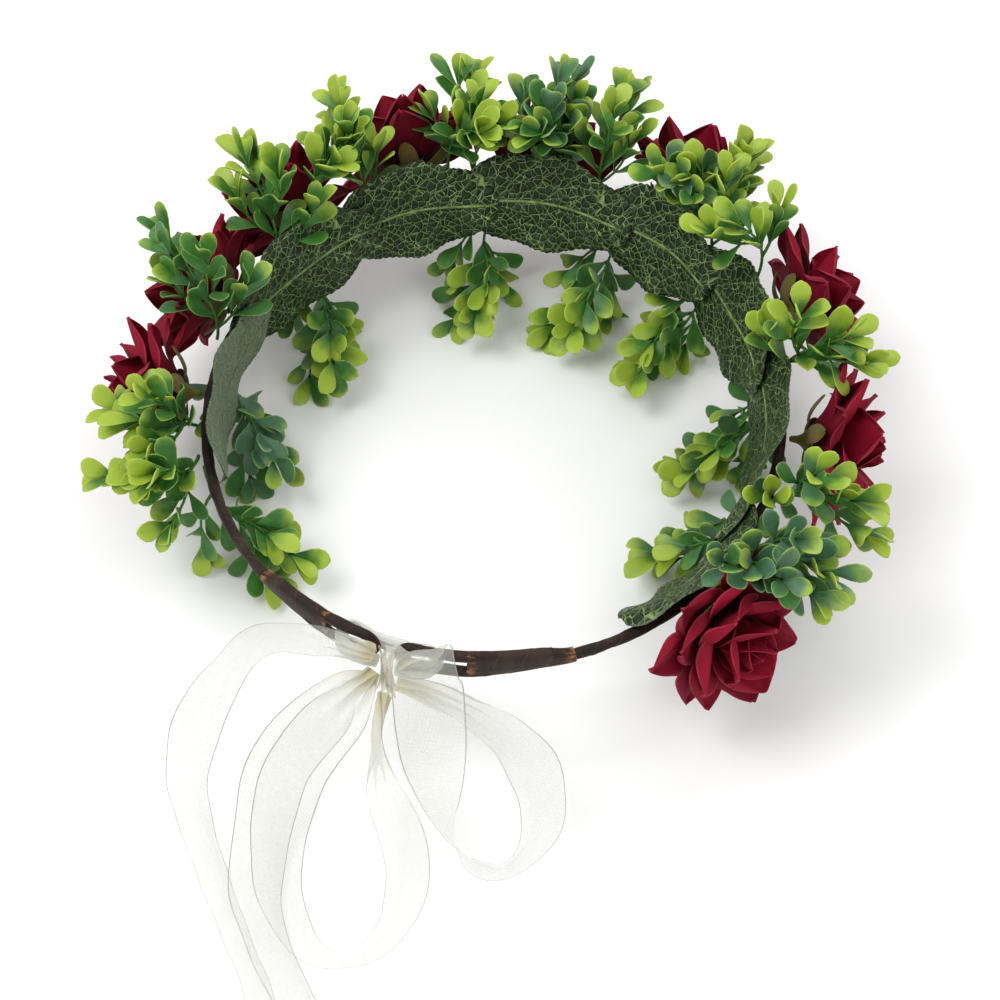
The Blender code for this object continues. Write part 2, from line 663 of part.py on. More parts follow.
def build_sprigs():
    moss = finish("sprig_plastic", (0.10, 0.20, 0.09), 0.45)
    low_out = LEAF_WIDTH / 2 * math.sin(math.radians(BACK_LEAN))
    low_edge = LEAF_WIDTH / 2 * math.cos(math.radians(BACK_LEAN)) - LEAF_RISE
    upper_stem = (
        (0.0032, 0.0, 0.0036),
        (0.0060, 0.0, 0.30 * SPRIG_LENGTH),
        (0.0105, 0.0, 0.52 * SPRIG_LENGTH),
        (0.0170, 0.0, 0.72 * SPRIG_LENGTH),
        (0.0250, 0.0, 0.86 * SPRIG_LENGTH),
    )
    lower_stem = (
        (0.0030, 0.0, -0.0040),
        (0.0010, 0.0, -0.6 * low_edge),
        (-0.0030, 0.0, -low_edge - 0.0075),
        (-low_out - 0.0060, 0.0, -low_edge - 0.0120),
        (-low_out - 0.0150, 0.0, -low_edge - 0.0150),
        (-low_out - 0.0245, 0.0, -low_edge - 0.0165),
    )
    upper = sprig_mesh("upper_sprig", upper_stem, 0.52, 4, 1.0)
    lower = sprig_mesh("lower_sprig", lower_stem, 0.62, 3, 0.95)
    large_rose_angle = ROSES[-1][0]
    spacing, lean, lift = LARGE_ROSE_SPRIG
    beside_angle = large_rose_angle + degrees_along(spacing, large_rose_angle)
    upper_places = (*UPPER_SPRIGS, (beside_angle, lean, lift))
    for number, (angle, lean, lift) in enumerate(upper_places, 1):
        base = Vector(upper_stem[0])
        swing = Matrix.Rotation(math.radians(lean), 4, "X")
        swing = swing @ Matrix.Rotation(math.radians(-lift), 4, "Y")
        place = Matrix.Translation(base) @ swing @ Matrix.Translation(-base)
        mesh = upper.copy()
        mesh.transform(ring_frame(angle) @ place)
        add_object(f"upper_sprig_{number}", mesh, moss)
    for number, (angle, turn) in enumerate(LOWER_SPRIGS, 1):
        mesh = lower.copy()
        mesh.transform(ring_frame(angle) @ Matrix.Rotation(math.radians(-turn), 4, "Z"))
        add_object(f"lower_sprig_{number}", mesh, moss)
    bpy.data.meshes.remove(upper)
    bpy.data.meshes.remove(lower)


def build_ribbon(pivot):
    organza = finish("organza_ribbon", (0.86, 0.83, 0.74), 0.5)
    add_object("ribbon_knot", knot_mesh("ribbon_knot"), organza, pivot)
    add_object("ribbon_lacing", lacing_mesh("ribbon_lacing"), organza, pivot)
    strips = (
        ("ribbon_loop_left", LOOP_LEFT),
        ("ribbon_loop_right", LOOP_RIGHT),
        ("ribbon_tail_outer", TAIL_OUTER),
        ("ribbon_tail_inner", TAIL_INNER),
    )
    for name, stations in strips:
        add_object(name, strip_mesh(name, stations), organza, pivot)


def main():
    clear_scene()
    left_pivot = add_pivot("left_arm_axis", ring_frame(GARLAND_END).translation)
    right_pivot = add_pivot("right_arm_axis", ring_frame(GARLAND_START).translation)
    bow_pivot = add_pivot("bow_axis", from_front(KNOT_CENTRE))
    build_wires(left_pivot, right_pivot)
    build_roses()
    build_leaves()
    build_sprigs()
    build_ribbon(bow_pivot)


main()
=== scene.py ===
"""The finished look of the flower crown: roses, printed leaves, boxwood sprigs, taped wire and a bow."""

import json
import math
import random

import bpy
import numpy as np
from mathutils import Matrix, Vector

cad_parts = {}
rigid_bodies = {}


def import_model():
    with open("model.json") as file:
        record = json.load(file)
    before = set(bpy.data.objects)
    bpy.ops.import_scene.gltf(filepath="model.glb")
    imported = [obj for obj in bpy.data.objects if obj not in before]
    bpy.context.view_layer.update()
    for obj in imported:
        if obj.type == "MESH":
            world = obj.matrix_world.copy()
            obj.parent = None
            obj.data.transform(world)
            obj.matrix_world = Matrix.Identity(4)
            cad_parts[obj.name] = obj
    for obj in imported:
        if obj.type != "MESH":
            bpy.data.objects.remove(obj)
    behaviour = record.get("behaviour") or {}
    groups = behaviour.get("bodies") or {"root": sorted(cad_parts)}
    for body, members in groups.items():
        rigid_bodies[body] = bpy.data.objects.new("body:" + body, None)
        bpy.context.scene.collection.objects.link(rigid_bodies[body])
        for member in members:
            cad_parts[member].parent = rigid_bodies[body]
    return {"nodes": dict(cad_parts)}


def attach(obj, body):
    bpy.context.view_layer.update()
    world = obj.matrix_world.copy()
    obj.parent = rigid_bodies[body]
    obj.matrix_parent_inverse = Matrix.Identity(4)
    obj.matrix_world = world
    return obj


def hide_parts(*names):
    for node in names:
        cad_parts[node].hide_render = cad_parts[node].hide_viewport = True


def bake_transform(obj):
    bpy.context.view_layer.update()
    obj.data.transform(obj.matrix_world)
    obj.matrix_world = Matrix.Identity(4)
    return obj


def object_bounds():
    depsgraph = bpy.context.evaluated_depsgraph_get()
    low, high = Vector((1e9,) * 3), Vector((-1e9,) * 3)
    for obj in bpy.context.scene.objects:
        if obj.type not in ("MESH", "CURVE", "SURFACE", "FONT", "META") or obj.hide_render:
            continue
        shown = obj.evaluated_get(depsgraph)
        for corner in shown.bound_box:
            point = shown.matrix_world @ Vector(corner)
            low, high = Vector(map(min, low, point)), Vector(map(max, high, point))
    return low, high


bl_info = {
    "name": "Flower Crown",
    "version": (1, 0, 0),
    "blender": (4, 5, 0),
    "location": "View3D > Sidebar > Flower Crown",
    "description": "Dresses the flower crown's frame with roses, leaves, sprigs, tape and ribbon",
    "category": "Object",
}

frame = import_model()
cad_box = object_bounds()

MILLIMETRE = 0.001
WIRE_RADIUS = 0.0007
TAPE_RADIUS = 0.00175
# Where the flowered part ends on each side and where the bow is, in degrees about the ring.
GARLAND_ENDS = (-39.0, 217.0)
FRONT_ANGLE = 270.0
FLOOR_GAP = 0.0004
FLOOR_HEIGHT = float(cad_box[0][2]) - FLOOR_GAP

# Ribbon pieces: a chosen centre line in millimetres from the front of the ring, the way
# that the width points, and how much of the full width is spread open there.
TAIL_OUTER = (
    ((-0.7, -5.5, 5.0), (0.0, 0.0, 1.0), 0.2),
    ((-6.0, -7.7, 7.6), (0.0, -0.1, 1.0), 0.5),
    ((-16.0, -9.3, 8.0), (0.0, -0.1, 1.0), 0.9),
    ((-33.0, -12.3, 4.0), (-0.1, -0.2, 0.97), 1.0),
    ((-43.0, -20.3, -7.0), (-0.35, -0.55, 0.75), 1.0),
    ((-48.0, -33.3, -19.0), (-0.5, -0.45, 0.74), 1.0),
    ((-46.0, -48.3, -27.0), (-0.35, -0.45, 0.8), 1.0),
    ((-37.0, -62.3, -29.0), (-0.4, -0.35, 0.85), 1.0),
    ((-23.0, -78.3, -29.5), (-0.35, -0.3, 0.88), 1.0),
    ((-8.0, -94.3, -29.5), (-0.3, -0.35, 0.88), 1.0),
    ((6.0, -109.3, -29.5), (-0.3, -0.3, 0.9), 1.0),
    ((18.0, -125.3, -29.5), (-0.3, -0.25, 0.92), 1.0),
)
TAIL_INNER = (
    ((-0.8, -5.5, -9.4), (0.0, 0.0, 1.0), 0.18),
    ((-7.5, -10.8, -11.5), (-0.6, 0.2, 0.78), 0.55),
    ((-12.0, -19.8, -15.0), (-0.7, 0.05, 0.68), 0.9),
    ((-18.0, -32.3, -20.5), (-0.75, -0.1, 0.65), 1.0),
    ((-19.5, -43.3, -25.0), (-0.8, -0.25, 0.6), 1.0),
    ((-16.0, -61.3, -30.0), (-0.65, -0.2, 0.73), 1.0),
    ((-9.5, -79.3, -30.5), (-0.62, -0.31, 0.72), 1.0),
    ((4.0, -95.3, -31.0), (-0.45, -0.45, 0.77), 1.0),
    ((18.0, -107.3, -31.0), (-0.42, -0.48, 0.77), 1.0),
    ((35.0, -120.3, -31.0), (-0.35, -0.45, 0.82), 1.0),
)
LOOP_LEFT = (
    ((-0.8, -5.7, -5.0), (0.0, 0.0, 1.0), 0.16),
    ((-2.6, -11.3, -7.5), (-0.45, 0.2, 0.85), 0.45),
    ((-6.0, -19.8, -11.5), (-0.75, 0.0, 0.65), 0.85),
    ((-11.5, -32.3, -17.0), (-0.75, -0.1, 0.65), 1.0),
    ((-13.5, -44.3, -22.0), (-0.78, -0.2, 0.62), 1.0),
    ((-10.5, -60.3, -27.0), (-0.65, -0.15, 0.74), 1.0),
    ((-3.5, -75.3, -28.5), (-0.6, -0.3, 0.75), 1.0),
    ((7.0, -85.8, -29.0), (-0.35, -0.5, 0.79), 1.0),
    ((18.0, -89.3, -29.0), (0.0, -0.62, 0.78), 1.0),
    ((28.0, -83.3, -29.0), (0.45, -0.45, 0.77), 1.0),
    ((32.5, -71.3, -28.5), (0.62, -0.15, 0.77), 1.0),
    ((30.5, -57.3, -27.0), (0.6, 0.15, 0.78), 1.0),
    ((23.0, -44.8, -24.0), (0.45, 0.3, 0.84), 0.95),
    ((13.0, -34.3, -19.5), (0.25, 0.3, 0.9), 0.8),
    ((7.5, -24.3, -15.5), (0.1, 0.0, 1.0), 0.6),
    ((5.0, -15.8, -12.5), (0.05, -0.1, 1.0), 0.4),
    ((3.8, -8.8, -11.5), (0.0, 0.0, 1.0), 0.2),
)
LOOP_RIGHT = (
    ((7.0, -5.2, 2.4), (1.0, 0.1, 0.0), 0.22),
    ((9.6, -4.4, 8.0), (1.0, 0.2, 0.0), 0.62),
    ((12.6, -4.6, 12.8), (0.95, 0.32, 0.0), 0.95),
    ((14.8, -8.0, 12.2), (0.95, 0.32, 0.0), 1.0),
    ((16.8, -9.8, 6.8), (0.95, 0.32, 0.0), 1.0),
    ((18.5, -9.8, 0.5), (0.95, 0.32, 0.0), 1.0),
    ((22.0, -16.3, -9.0), (0.95, 0.3, 0.1), 1.0),
    ((27.0, -25.3, -18.0), (0.88, 0.0, 0.42), 1.0),
    ((34.0, -35.3, -25.5), (0.6, -0.45, 0.66), 1.0),
    ((44.0, -43.8, -29.0), (0.35, -0.6, 0.72), 1.0),
    ((54.0, -44.3, -30.0), (0.2, -0.6, 0.77), 1.0),
    ((61.0, -36.3, -30.0), (0.5, -0.35, 0.79), 1.0),
    ((62.0, -24.3, -27.5), (0.62, 0.0, 0.78), 1.0),
    ((55.0, -12.3, -23.0), (0.4, 0.35, 0.84), 1.0),
    ((43.0, -5.8, -17.5), (0.15, 0.2, 0.96), 0.95),
    ((29.0, -3.8, -12.5), (0.0, 0.0, 1.0), 0.75),
    ((15.0, -5.1, -9.0), (0.0, 0.0, 1.0), 0.45),
    ((6.6, -5.3, -8.2), (0.0, 0.0, 1.0), 0.25),
)
LACING = (
    ((0.2, -4.9, 0.0), (0.0, 0.0, 1.0), 0.15),
    ((-5.0, -4.9, 0.0), (0.0, 0.0, 1.0), 0.17),
    ((-11.0, -3.5, 0.0), (0.0, 0.0, 1.0), 0.16),
    ((-14.0, 0.7, 0.0), (0.0, 0.0, 1.0), 0.15),
    ((-11.5, 4.6, -0.8), (0.0, 0.0, 1.0), 0.16),
    ((-4.0, 3.9, -2.6), (0.0, 0.0, 1.0), 0.18),
    ((6.0, 3.9, -2.6), (0.0, 0.0, 1.0), 0.18),
    ((14.0, 4.6, -0.8), (0.0, 0.0, 1.0), 0.16),
    ((17.2, 1.5, 0.0), (0.0, 0.0, 1.0), 0.15),
    ((15.0, -2.9, 0.0), (0.0, 0.0, 1.0), 0.16),
    ((10.5, -4.7, 0.0), (0.0, 0.0, 1.0), 0.17),
    ((6.2, -4.9, 0.0), (0.0, 0.0, 1.0), 0.15),
)
KNOT = (
    ((3.6, -5.4, 7.2), (1.0, 0.1, 0.0), 0.3),
    ((3.3, -5.3, 3.0), (1.0, 0.1, 0.0), 0.2),
    ((3.0, -5.2, -3.5), (1.0, 0.0, 0.0), 0.17),
    ((3.3, -5.3, -10.0), (1.0, -0.1, 0.0), 0.22),
    ((3.6, -5.4, -14.4), (1.0, -0.1, 0.0), 0.32),
)


# ---------------------------------------------------------------- settings


class RoseSettings(bpy.types.PropertyGroup):
    """Sizes and colours of the cloth roses"""

    cloth: bpy.props.FloatVectorProperty(
        name="Cloth", description="Colour of the petals", subtype="COLOR", default=(0.24, 0.0055, 0.026)
    )
    # The rim colour is a painted highlight: the paler line where the velvet sheen catches a petal's edge.
    rim: bpy.props.FloatVectorProperty(
        name="Rim", description="Paler cut edge of a petal", subtype="COLOR", default=(0.42, 0.045, 0.085)
    )
    thickness: bpy.props.FloatProperty(
        name="Thickness", description="Thickness of the petal cloth", default=0.00035, unit="LENGTH"
    )
    sepal: bpy.props.FloatVectorProperty(
        name="Sepal", description="Olive side of the sepals", subtype="COLOR", default=(0.12, 0.115, 0.018)
    )
    rust: bpy.props.FloatVectorProperty(
        name="Rust", description="Rusty tips of the sepals", subtype="COLOR", default=(0.22, 0.075, 0.012)
    )


class LeafSettings(bpy.types.PropertyGroup):
    """Sizes and colours of the printed cloth leaves"""

    width: bpy.props.FloatProperty(
        name="Width", description="Greatest width of a cloth leaf", default=0.0365, unit="LENGTH"
    )
    ground: bpy.props.FloatVectorProperty(
        name="Ground", description="Dark printed green", subtype="COLOR", default=(0.010, 0.026, 0.009)
    )
    vein: bpy.props.FloatVectorProperty(
        name="Vein", description="Pale net of veins", subtype="COLOR", default=(0.30, 0.42, 0.15)
    )
    reverse: bpy.props.FloatVectorProperty(
        name="Reverse", description="Unprinted side of the cloth", subtype="COLOR", default=(0.15, 0.19, 0.13)
    )


class SprigSettings(bpy.types.PropertyGroup):
    """Sizes and colours of the boxwood sprigs"""

    leaf_length: bpy.props.FloatProperty(
        name="Leaf length", description="Length of one leaf", default=0.0155, unit="LENGTH"
    )
    stem_radius: bpy.props.FloatProperty(
        name="Stem radius", description="Half thickness of a stem", default=0.0006, unit="LENGTH"
    )
    lime: bpy.props.FloatVectorProperty(
        name="Lime", description="Yellow green of the leaf ends", subtype="COLOR", default=(0.36, 0.49, 0.06)
    )
    green: bpy.props.FloatVectorProperty(
        name="Green", description="Middle green", subtype="COLOR", default=(0.050, 0.17, 0.030)
    )
    teal: bpy.props.FloatVectorProperty(
        name="Teal", description="Blue green near the stems", subtype="COLOR", default=(0.085, 0.18, 0.115)
    )
    frost: bpy.props.FloatVectorProperty(
        name="Frost", description="Grey film on the bluer leaves", subtype="COLOR", default=(0.30, 0.42, 0.36)
    )


class WrapSettings(bpy.types.PropertyGroup):
    """Sizes and colours of the taped wire"""

    tape: bpy.props.FloatVectorProperty(
        name="Tape", description="Dark crepe paper", subtype="COLOR", default=(0.024, 0.013, 0.008)
    )
    torn: bpy.props.FloatVectorProperty(
        name="Torn edge", description="Raw edge of the paper", subtype="COLOR", default=(0.55, 0.25, 0.09)
    )
    wire: bpy.props.FloatVectorProperty(
        name="Wire", description="Dull drawn steel", subtype="COLOR", default=(0.20, 0.19, 0.18)
    )
    pitch: bpy.props.FloatProperty(
        name="Pitch", description="Length of one turn of the tape", default=0.0085, unit="LENGTH"
    )


class RibbonSettings(bpy.types.PropertyGroup):
    """Sizes and colours of the organza ribbon"""

    width: bpy.props.FloatProperty(
        name="Width", description="Width of the ribbon laid flat", default=0.022, unit="LENGTH"
    )
    cloth: bpy.props.FloatVectorProperty(
        name="Organza", description="Ivory of one layer", subtype="COLOR", default=(0.71, 0.715, 0.655)
    )
    gathered: bpy.props.FloatVectorProperty(
        name="Gathered", description="Cream of many layers", subtype="COLOR", default=(0.76, 0.70, 0.46)
    )
    selvedge: bpy.props.FloatVectorProperty(
        name="Selvedge", description="Closed edge of the weave", subtype="COLOR", default=(0.20, 0.21, 0.17)
    )
    cover: bpy.props.FloatProperty(
        name="Cover", description="How much of what is behind the weave hides", default=0.30, subtype="FACTOR"
    )


class StageSettings(bpy.types.PropertyGroup):
    """Where the camera stands"""

    azimuth: bpy.props.FloatProperty(
        name="Azimuth", description="Turn of the view", default=math.radians(19.0), unit="ROTATION"
    )
    elevation: bpy.props.FloatProperty(
        name="Elevation", description="Height of the view", default=math.radians(52.0), unit="ROTATION"
    )
    roll: bpy.props.FloatProperty(
        name="Roll", description="Tilt of the view", default=math.radians(1.8), unit="ROTATION"
    )
    distance: bpy.props.FloatProperty(
        name="Distance", description="From the ring's centre to the camera", default=0.78, unit="LENGTH"
    )
    lens: bpy.props.FloatProperty(name="Lens", description="Focal length in millimetres", default=85.1)
    floor: bpy.props.FloatVectorProperty(
        name="Floor", description="Colour of the floor", subtype="COLOR", default=(0.93, 0.93, 0.93)
    )


# ---------------------------------------------------------------- places on the frame


def node_points(node):
    """The node's distinct corners."""
    mesh = frame["nodes"][node].data
    flat = np.empty(len(mesh.vertices) * 3)
    mesh.vertices.foreach_get("co", flat)
    return np.unique(np.round(flat.reshape(-1, 3), 6), axis=0)


wire_points = node_points("garland_wire")
RING_HALF_WIDTH = float(wire_points[:, 0].max() - wire_points[:, 0].min()) / 2 - WIRE_RADIUS
RING_HALF_DEPTH = float(wire_points[:, 1].max()) - WIRE_RADIUS


def ring_frame(angle, out=0.0, up=0.0):
    """Axes at a place on the ring: X outwards, Y along the ring, Z up."""
    turn = math.radians(angle)
    along = Vector((-RING_HALF_WIDTH * math.sin(turn), RING_HALF_DEPTH * math.cos(turn), 0.0))
    along.normalize()
    outward = Vector((along.y, -along.x, 0.0))
    on_ring = Vector((RING_HALF_WIDTH * math.cos(turn), RING_HALF_DEPTH * math.sin(turn), 0.0))
    place = on_ring + outward * out + Vector((0.0, 0.0, up))
    axes = Matrix((outward, along, Vector((0.0, 0.0, 1.0)))).transposed().to_4x4()
    return Matrix.Translation(place) @ axes


def ring_angles(points):
    """The angle about the ring of each point, from 90 degrees before the garland on."""
    angles = np.degrees(np.arctan2(points[:, 1] / RING_HALF_DEPTH, points[:, 0] / RING_HALF_WIDTH))
    return np.where(angles < -90.0, angles + 360.0, angles)


def degrees_along(length, angle):
    """The degrees that a length along the ring takes up at this angle."""
    turn = math.radians(angle)
    speed = math.hypot(RING_HALF_WIDTH * math.sin(turn), RING_HALF_DEPTH * math.cos(turn))
    return math.degrees(length / speed)


def from_front(point):
    """A place given in millimetres from the ring's front."""
    return np.array(ring_frame(FRONT_ANGLE).translation) + np.array(point) * MILLIMETRE


# ---------------------------------------------------------------- curves and meshes


def ease(low, high, value):
    """0 below low, 1 above high and smooth between."""
    share = np.clip((value - low) / (high - low), 0.0, 1.0)
    return share * share * (3.0 - 2.0 * share)


def unit(vectors):
    """The vectors made one long."""
    return vectors / np.maximum(np.linalg.norm(vectors, axis=-1, keepdims=True), 1e-12)


def smooth_through(points, steps):
    """A Catmull-Rom curve through the points."""
    points = np.asarray(points, float)
    ends = np.vstack([2 * points[0] - points[1], points, 2 * points[-1] - points[-2]])
    t = (np.arange(steps) / steps)[:, None]
    spans = []
    for before, start, end, after in zip(ends, ends[1:], ends[2:], ends[3:]):
        spans.append(
            0.5
            * (
                2 * start
                + (end - before) * t
                + (2 * before - 5 * start + 4 * end - after) * t**2
                + (3 * start - before - 3 * end + after) * t**3
            )
        )
    return np.vstack([*spans, points[-1:]])


def deselect_all():
    for item in bpy.context.view_layer.objects:
        item.select_set(False)


def plain_sheet(columns, rows):
    """A unit grid from Blender's own primitive: its corners as shares across and along, and its faces."""
    deselect_all()
    bpy.ops.mesh.primitive_grid_add(x_subdivisions=columns, y_subdivisions=rows, size=1.0)
    sheet = bpy.context.object
    corners = np.array([vertex.co[:2] for vertex in sheet.data.vertices]) + 0.5
    faces = np.array([face.vertices[:] for face in sheet.data.polygons])
    bpy.data.objects.remove(sheet, do_unlink=True)
    return corners, faces


class Heap:
    """Shaped sheets and tubes piled up to become one mesh, with a UV map and a tint."""

    def __init__(self):
        self.points, self.faces, self.uvs, self.tints, self.count = [], [], [], [], 0

    def add(self, points, faces, uvs, tint=(0.0, 0.0, 0.0, 0.0)):
        tints = np.broadcast_to(np.asarray(tint, float), (len(points), 4))
        self.points.append(points)
        self.faces.append(np.asarray(faces) + self.count)
        self.uvs.append(uvs)
        self.tints.append(tints)
        self.count += len(points)

    def make(self, name):
        points, faces = np.vstack(self.points), np.vstack(self.faces)
        uvs, tints = np.vstack(self.uvs), np.vstack(self.tints)
        mesh = bpy.data.meshes.new(name)
        mesh.from_pydata(points.tolist(), [], faces.tolist())
        corners = faces.reshape(-1)
        mesh.uv_layers.new(name="cloth").data.foreach_set("uv", uvs[corners].reshape(-1))
        layer = mesh.attributes.new("tint", "FLOAT_COLOR", "POINT")
        layer.data.foreach_set("color", tints.reshape(-1))
        mesh.validate()
        mesh.update()
        made = bpy.data.objects.new(name, mesh)
        bpy.context.scene.collection.objects.link(made)
        return made


def tube_rings(path, radii, sides):
    """Rings of a round section carried along a path without twisting."""
    path = np.asarray(path, float)
    tangents = unit(np.gradient(path, axis=0))
    normal = unit(np.cross(tangents[0], (0.31, 0.17, 0.93)))
    turns = 2 * np.pi * np.arange(sides) / sides
    rings = []
    for point, tangent, radius in zip(path, tangents, np.broadcast_to(radii, len(path))):
        normal = unit(normal - tangent * normal.dot(tangent))
        side = np.cross(tangent, normal)
        rings.append(point + radius * (np.cos(turns)[:, None] * normal + np.sin(turns)[:, None] * side))
    return np.array(rings)


def skin(rings):
    """Points, quads and UVs of rings of points skinned over, with both ends closed to a point."""
    count, sides = rings.shape[:2]
    lengths = np.r_[0.0, np.cumsum(np.linalg.norm(np.diff(rings.mean(axis=1), axis=0), axis=1))]
    points = rings.reshape(-1, 3)
    index = np.arange(count * sides).reshape(count, sides)
    after = np.roll(index, -1, axis=1)
    faces = np.stack([index[:-1], after[:-1], after[1:], index[1:]], axis=-1).reshape(-1, 4)
    uvs = np.stack(np.broadcast_arrays(np.arange(sides) / sides, lengths[:, None]), axis=-1)
    caps, cap_points = [], []
    for ring, flip in ((0, True), (count - 1, False)):
        middle = len(points) + len(cap_points)
        cap_points.append(rings[ring].mean(axis=0))
        for side in range(0, sides, 2):
            cap = [index[ring, (side + step) % sides] for step in range(3)] + [middle]
            caps.append(cap[::-1] if flip else cap)
    points = np.vstack([points, cap_points])
    uvs = np.vstack([uvs.reshape(-1, 2), [[0.5, 0.0], [0.5, lengths[-1]]]])
    return points, np.vstack([faces, caps]), uvs


def finish_piece(piece, body, material, replaced=()):
    """Shades a piece smooth, gives it its finish and its body, and hides the nodes it stands for."""
    piece.data.materials.clear()
    piece.data.materials.append(material)
    piece.data.shade_smooth()
    if body is not None:
        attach(piece, body)
    if replaced:
        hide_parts(*replaced)
    return piece


def apply_modifier(piece, kind, **settings):
    """Adds one of Blender's modifiers to the piece and applies it."""
    deselect_all()
    piece.select_set(True)
    bpy.context.view_layer.objects.active = piece
    modifier = piece.modifiers.new(kind.lower(), kind)
    for key, value in settings.items():
        setattr(modifier, key, value)
    bpy.ops.object.modifier_apply(modifier=modifier.name)


# ---------------------------------------------------------------- finishes


class Finish:
    """A node material with a short way to add and link nodes."""

    def __init__(self, name):
        self.material = bpy.data.materials.new(name)
        self.material.use_nodes = True
        self.nodes, self.links = self.material.node_tree.nodes, self.material.node_tree.links
        self.shader = self.nodes["Principled BSDF"]

    def link(self, source, target):
        """Joins a socket to the target, or sets a plain value on it."""
        if isinstance(source, bpy.types.NodeSocket):
            self.links.new(source, target)
        else:
            target.default_value = source

    def math(self, operation, *values):
        node = self.nodes.new("ShaderNodeMath")
        node.operation = operation
        for value, socket in zip(values, node.inputs):
            self.link(value, socket)
        return node.outputs[0]

    def span(self, value, low, high, new_low=0.0, new_high=1.0):
        """new_low up to low, new_high from high on and smooth between."""
        node = self.nodes.new("ShaderNodeMapRange")
        node.interpolation_type = "SMOOTHSTEP"
        for socket, number in zip(node.inputs, (value, low, high, new_low, new_high)):
            self.link(number, socket)
        return node.outputs[0]

    def mix(self, share, first, second):
        """From the first colour at 0 to the second at 1."""
        node = self.nodes.new("ShaderNodeMix")
        node.data_type = "RGBA"
        self.link(share, node.inputs[0])
        for value, socket in ((first, node.inputs[6]), (second, node.inputs[7])):
            self.link(value if isinstance(value, bpy.types.NodeSocket) else (*value, 1.0), socket)
        return node.outputs[2]

    def place(self):
        return self.nodes.new("ShaderNodeTexCoord").outputs["Object"]

    def uv(self):
        """The sheet's own shares: across and along."""
        node = self.nodes.new("ShaderNodeUVMap")
        node.uv_map = "cloth"
        split = self.nodes.new("ShaderNodeSeparateXYZ")
        self.links.new(node.outputs[0], split.inputs[0])
        return split.outputs[0], split.outputs[1]

    def tint(self):
        """The four numbers that each piece carries for its finish."""
        node = self.nodes.new("ShaderNodeAttribute")
        node.attribute_name = "tint"
        split = self.nodes.new("ShaderNodeSeparateColor")
        self.links.new(node.outputs["Color"], split.inputs[0])
        return (*split.outputs[:3], node.outputs["Alpha"])

    def joined(self, across, along):
        node = self.nodes.new("ShaderNodeCombineXYZ")
        for value, socket in zip((across, along), node.inputs):
            self.link(value, socket)
        return node.outputs[0]

    def noise(self, place, scale, detail=2.0, roughness=0.5):
        node = self.nodes.new("ShaderNodeTexNoise")
        self.links.new(place, node.inputs["Vector"])
        node.inputs["Scale"].default_value = scale
        node.inputs["Detail"].default_value = detail
        node.inputs["Roughness"].default_value = roughness
        return node.outputs["Fac"]

    def cells(self, place, scale):
        """How far the nearest wall of a net of cells is."""
        node = self.nodes.new("ShaderNodeTexVoronoi")
        node.feature = "DISTANCE_TO_EDGE"
        self.links.new(place, node.inputs["Vector"])
        node.inputs["Scale"].default_value = scale
        return node.outputs["Distance"]

    def bump(self, height, distance, strength=1.0):
        node = self.nodes.new("ShaderNodeBump")
        node.inputs["Strength"].default_value = strength
        node.inputs["Distance"].default_value = distance
        self.link(height, node.inputs["Height"])
        self.links.new(node.outputs[0], self.shader.inputs["Normal"])

    def set(self, **values):
        for key, value in values.items():
            self.link(value, self.shader.inputs[key.replace("_", " ")])
        return self.material


def shade(colour, factor, lift=0.0):
    """A colour made darker or lighter."""
    return [min(1.0, part * factor + lift) for part in colour]


def edge_share(finish, across):
    """0 on the middle line of a sheet and 1 on its two long edges."""
    return finish.math("ABSOLUTE", finish.math("MULTIPLY_ADD", across, 2.0, -1.0))


def rim(finish, across, along, sides, tip):
    """1 on a sheet's long edges and its tip; each pair holds the shares where it starts and is full."""
    return finish.math("MAXIMUM", finish.span(edge_share(finish, across), *sides), finish.span(along, *tip))


def shifted_sum(finish, value, factor, shift, other):
    """The value times the factor, plus the shift, plus the other one."""
    return finish.math("ADD", other, finish.math("MULTIPLY_ADD", value, factor, shift))


def petal_cloth(settings):
    """Matt wine-red cloth with painted shade darkening a petal's foot deep in the bloom, and a paler rim that
    is a painted highlight.
    """
    finish = Finish("rose_petal_cloth")
    across, along = finish.uv()
    tone, *_ = finish.tint()
    place = finish.place()
    mottle = finish.noise(place, 160.0, 3.0)
    weave = finish.noise(place, 2600.0, 1.0)
    colour = finish.mix(finish.span(mottle, 0.3, 0.75), shade(settings.cloth, 0.72), settings.cloth)
    bright = finish.mix(0.5, settings.cloth, shade(settings.cloth, 1.5))
    colour = finish.mix(tone, colour, bright)
    # Painted shade: each petal darkens towards its foot, where it sits deep inside the bloom.
    colour = finish.mix(finish.span(along, 0.02, 0.55, 0.75, 0.0), colour, shade(settings.cloth, 0.3))
    # Painted highlight: the petal's long edges and tip turn towards the paler rim colour, as the velvet sheen
    # would light them.
    edge = rim(finish, across, along, (0.93, 0.995), (0.955, 0.995))
    colour = finish.mix(finish.math("MULTIPLY", edge, 0.55), colour, settings.rim)
    crease = finish.noise(place, 420.0, 3.0, 0.6)
    finish.bump(finish.math("MULTIPLY_ADD", crease, 0.8, finish.math("MULTIPLY", weave, 0.12)), 0.0005, 0.5)
    return finish.set(
        Base_Color=colour,
        Roughness=finish.span(mottle, 0.2, 0.8, 0.62, 0.8),
        Sheen_Weight=0.08,
        Sheen_Roughness=0.4,
        Sheen_Tint=(0.9, 0.25, 0.35, 1.0),
        Specular_IOR_Level=0.3,
    )


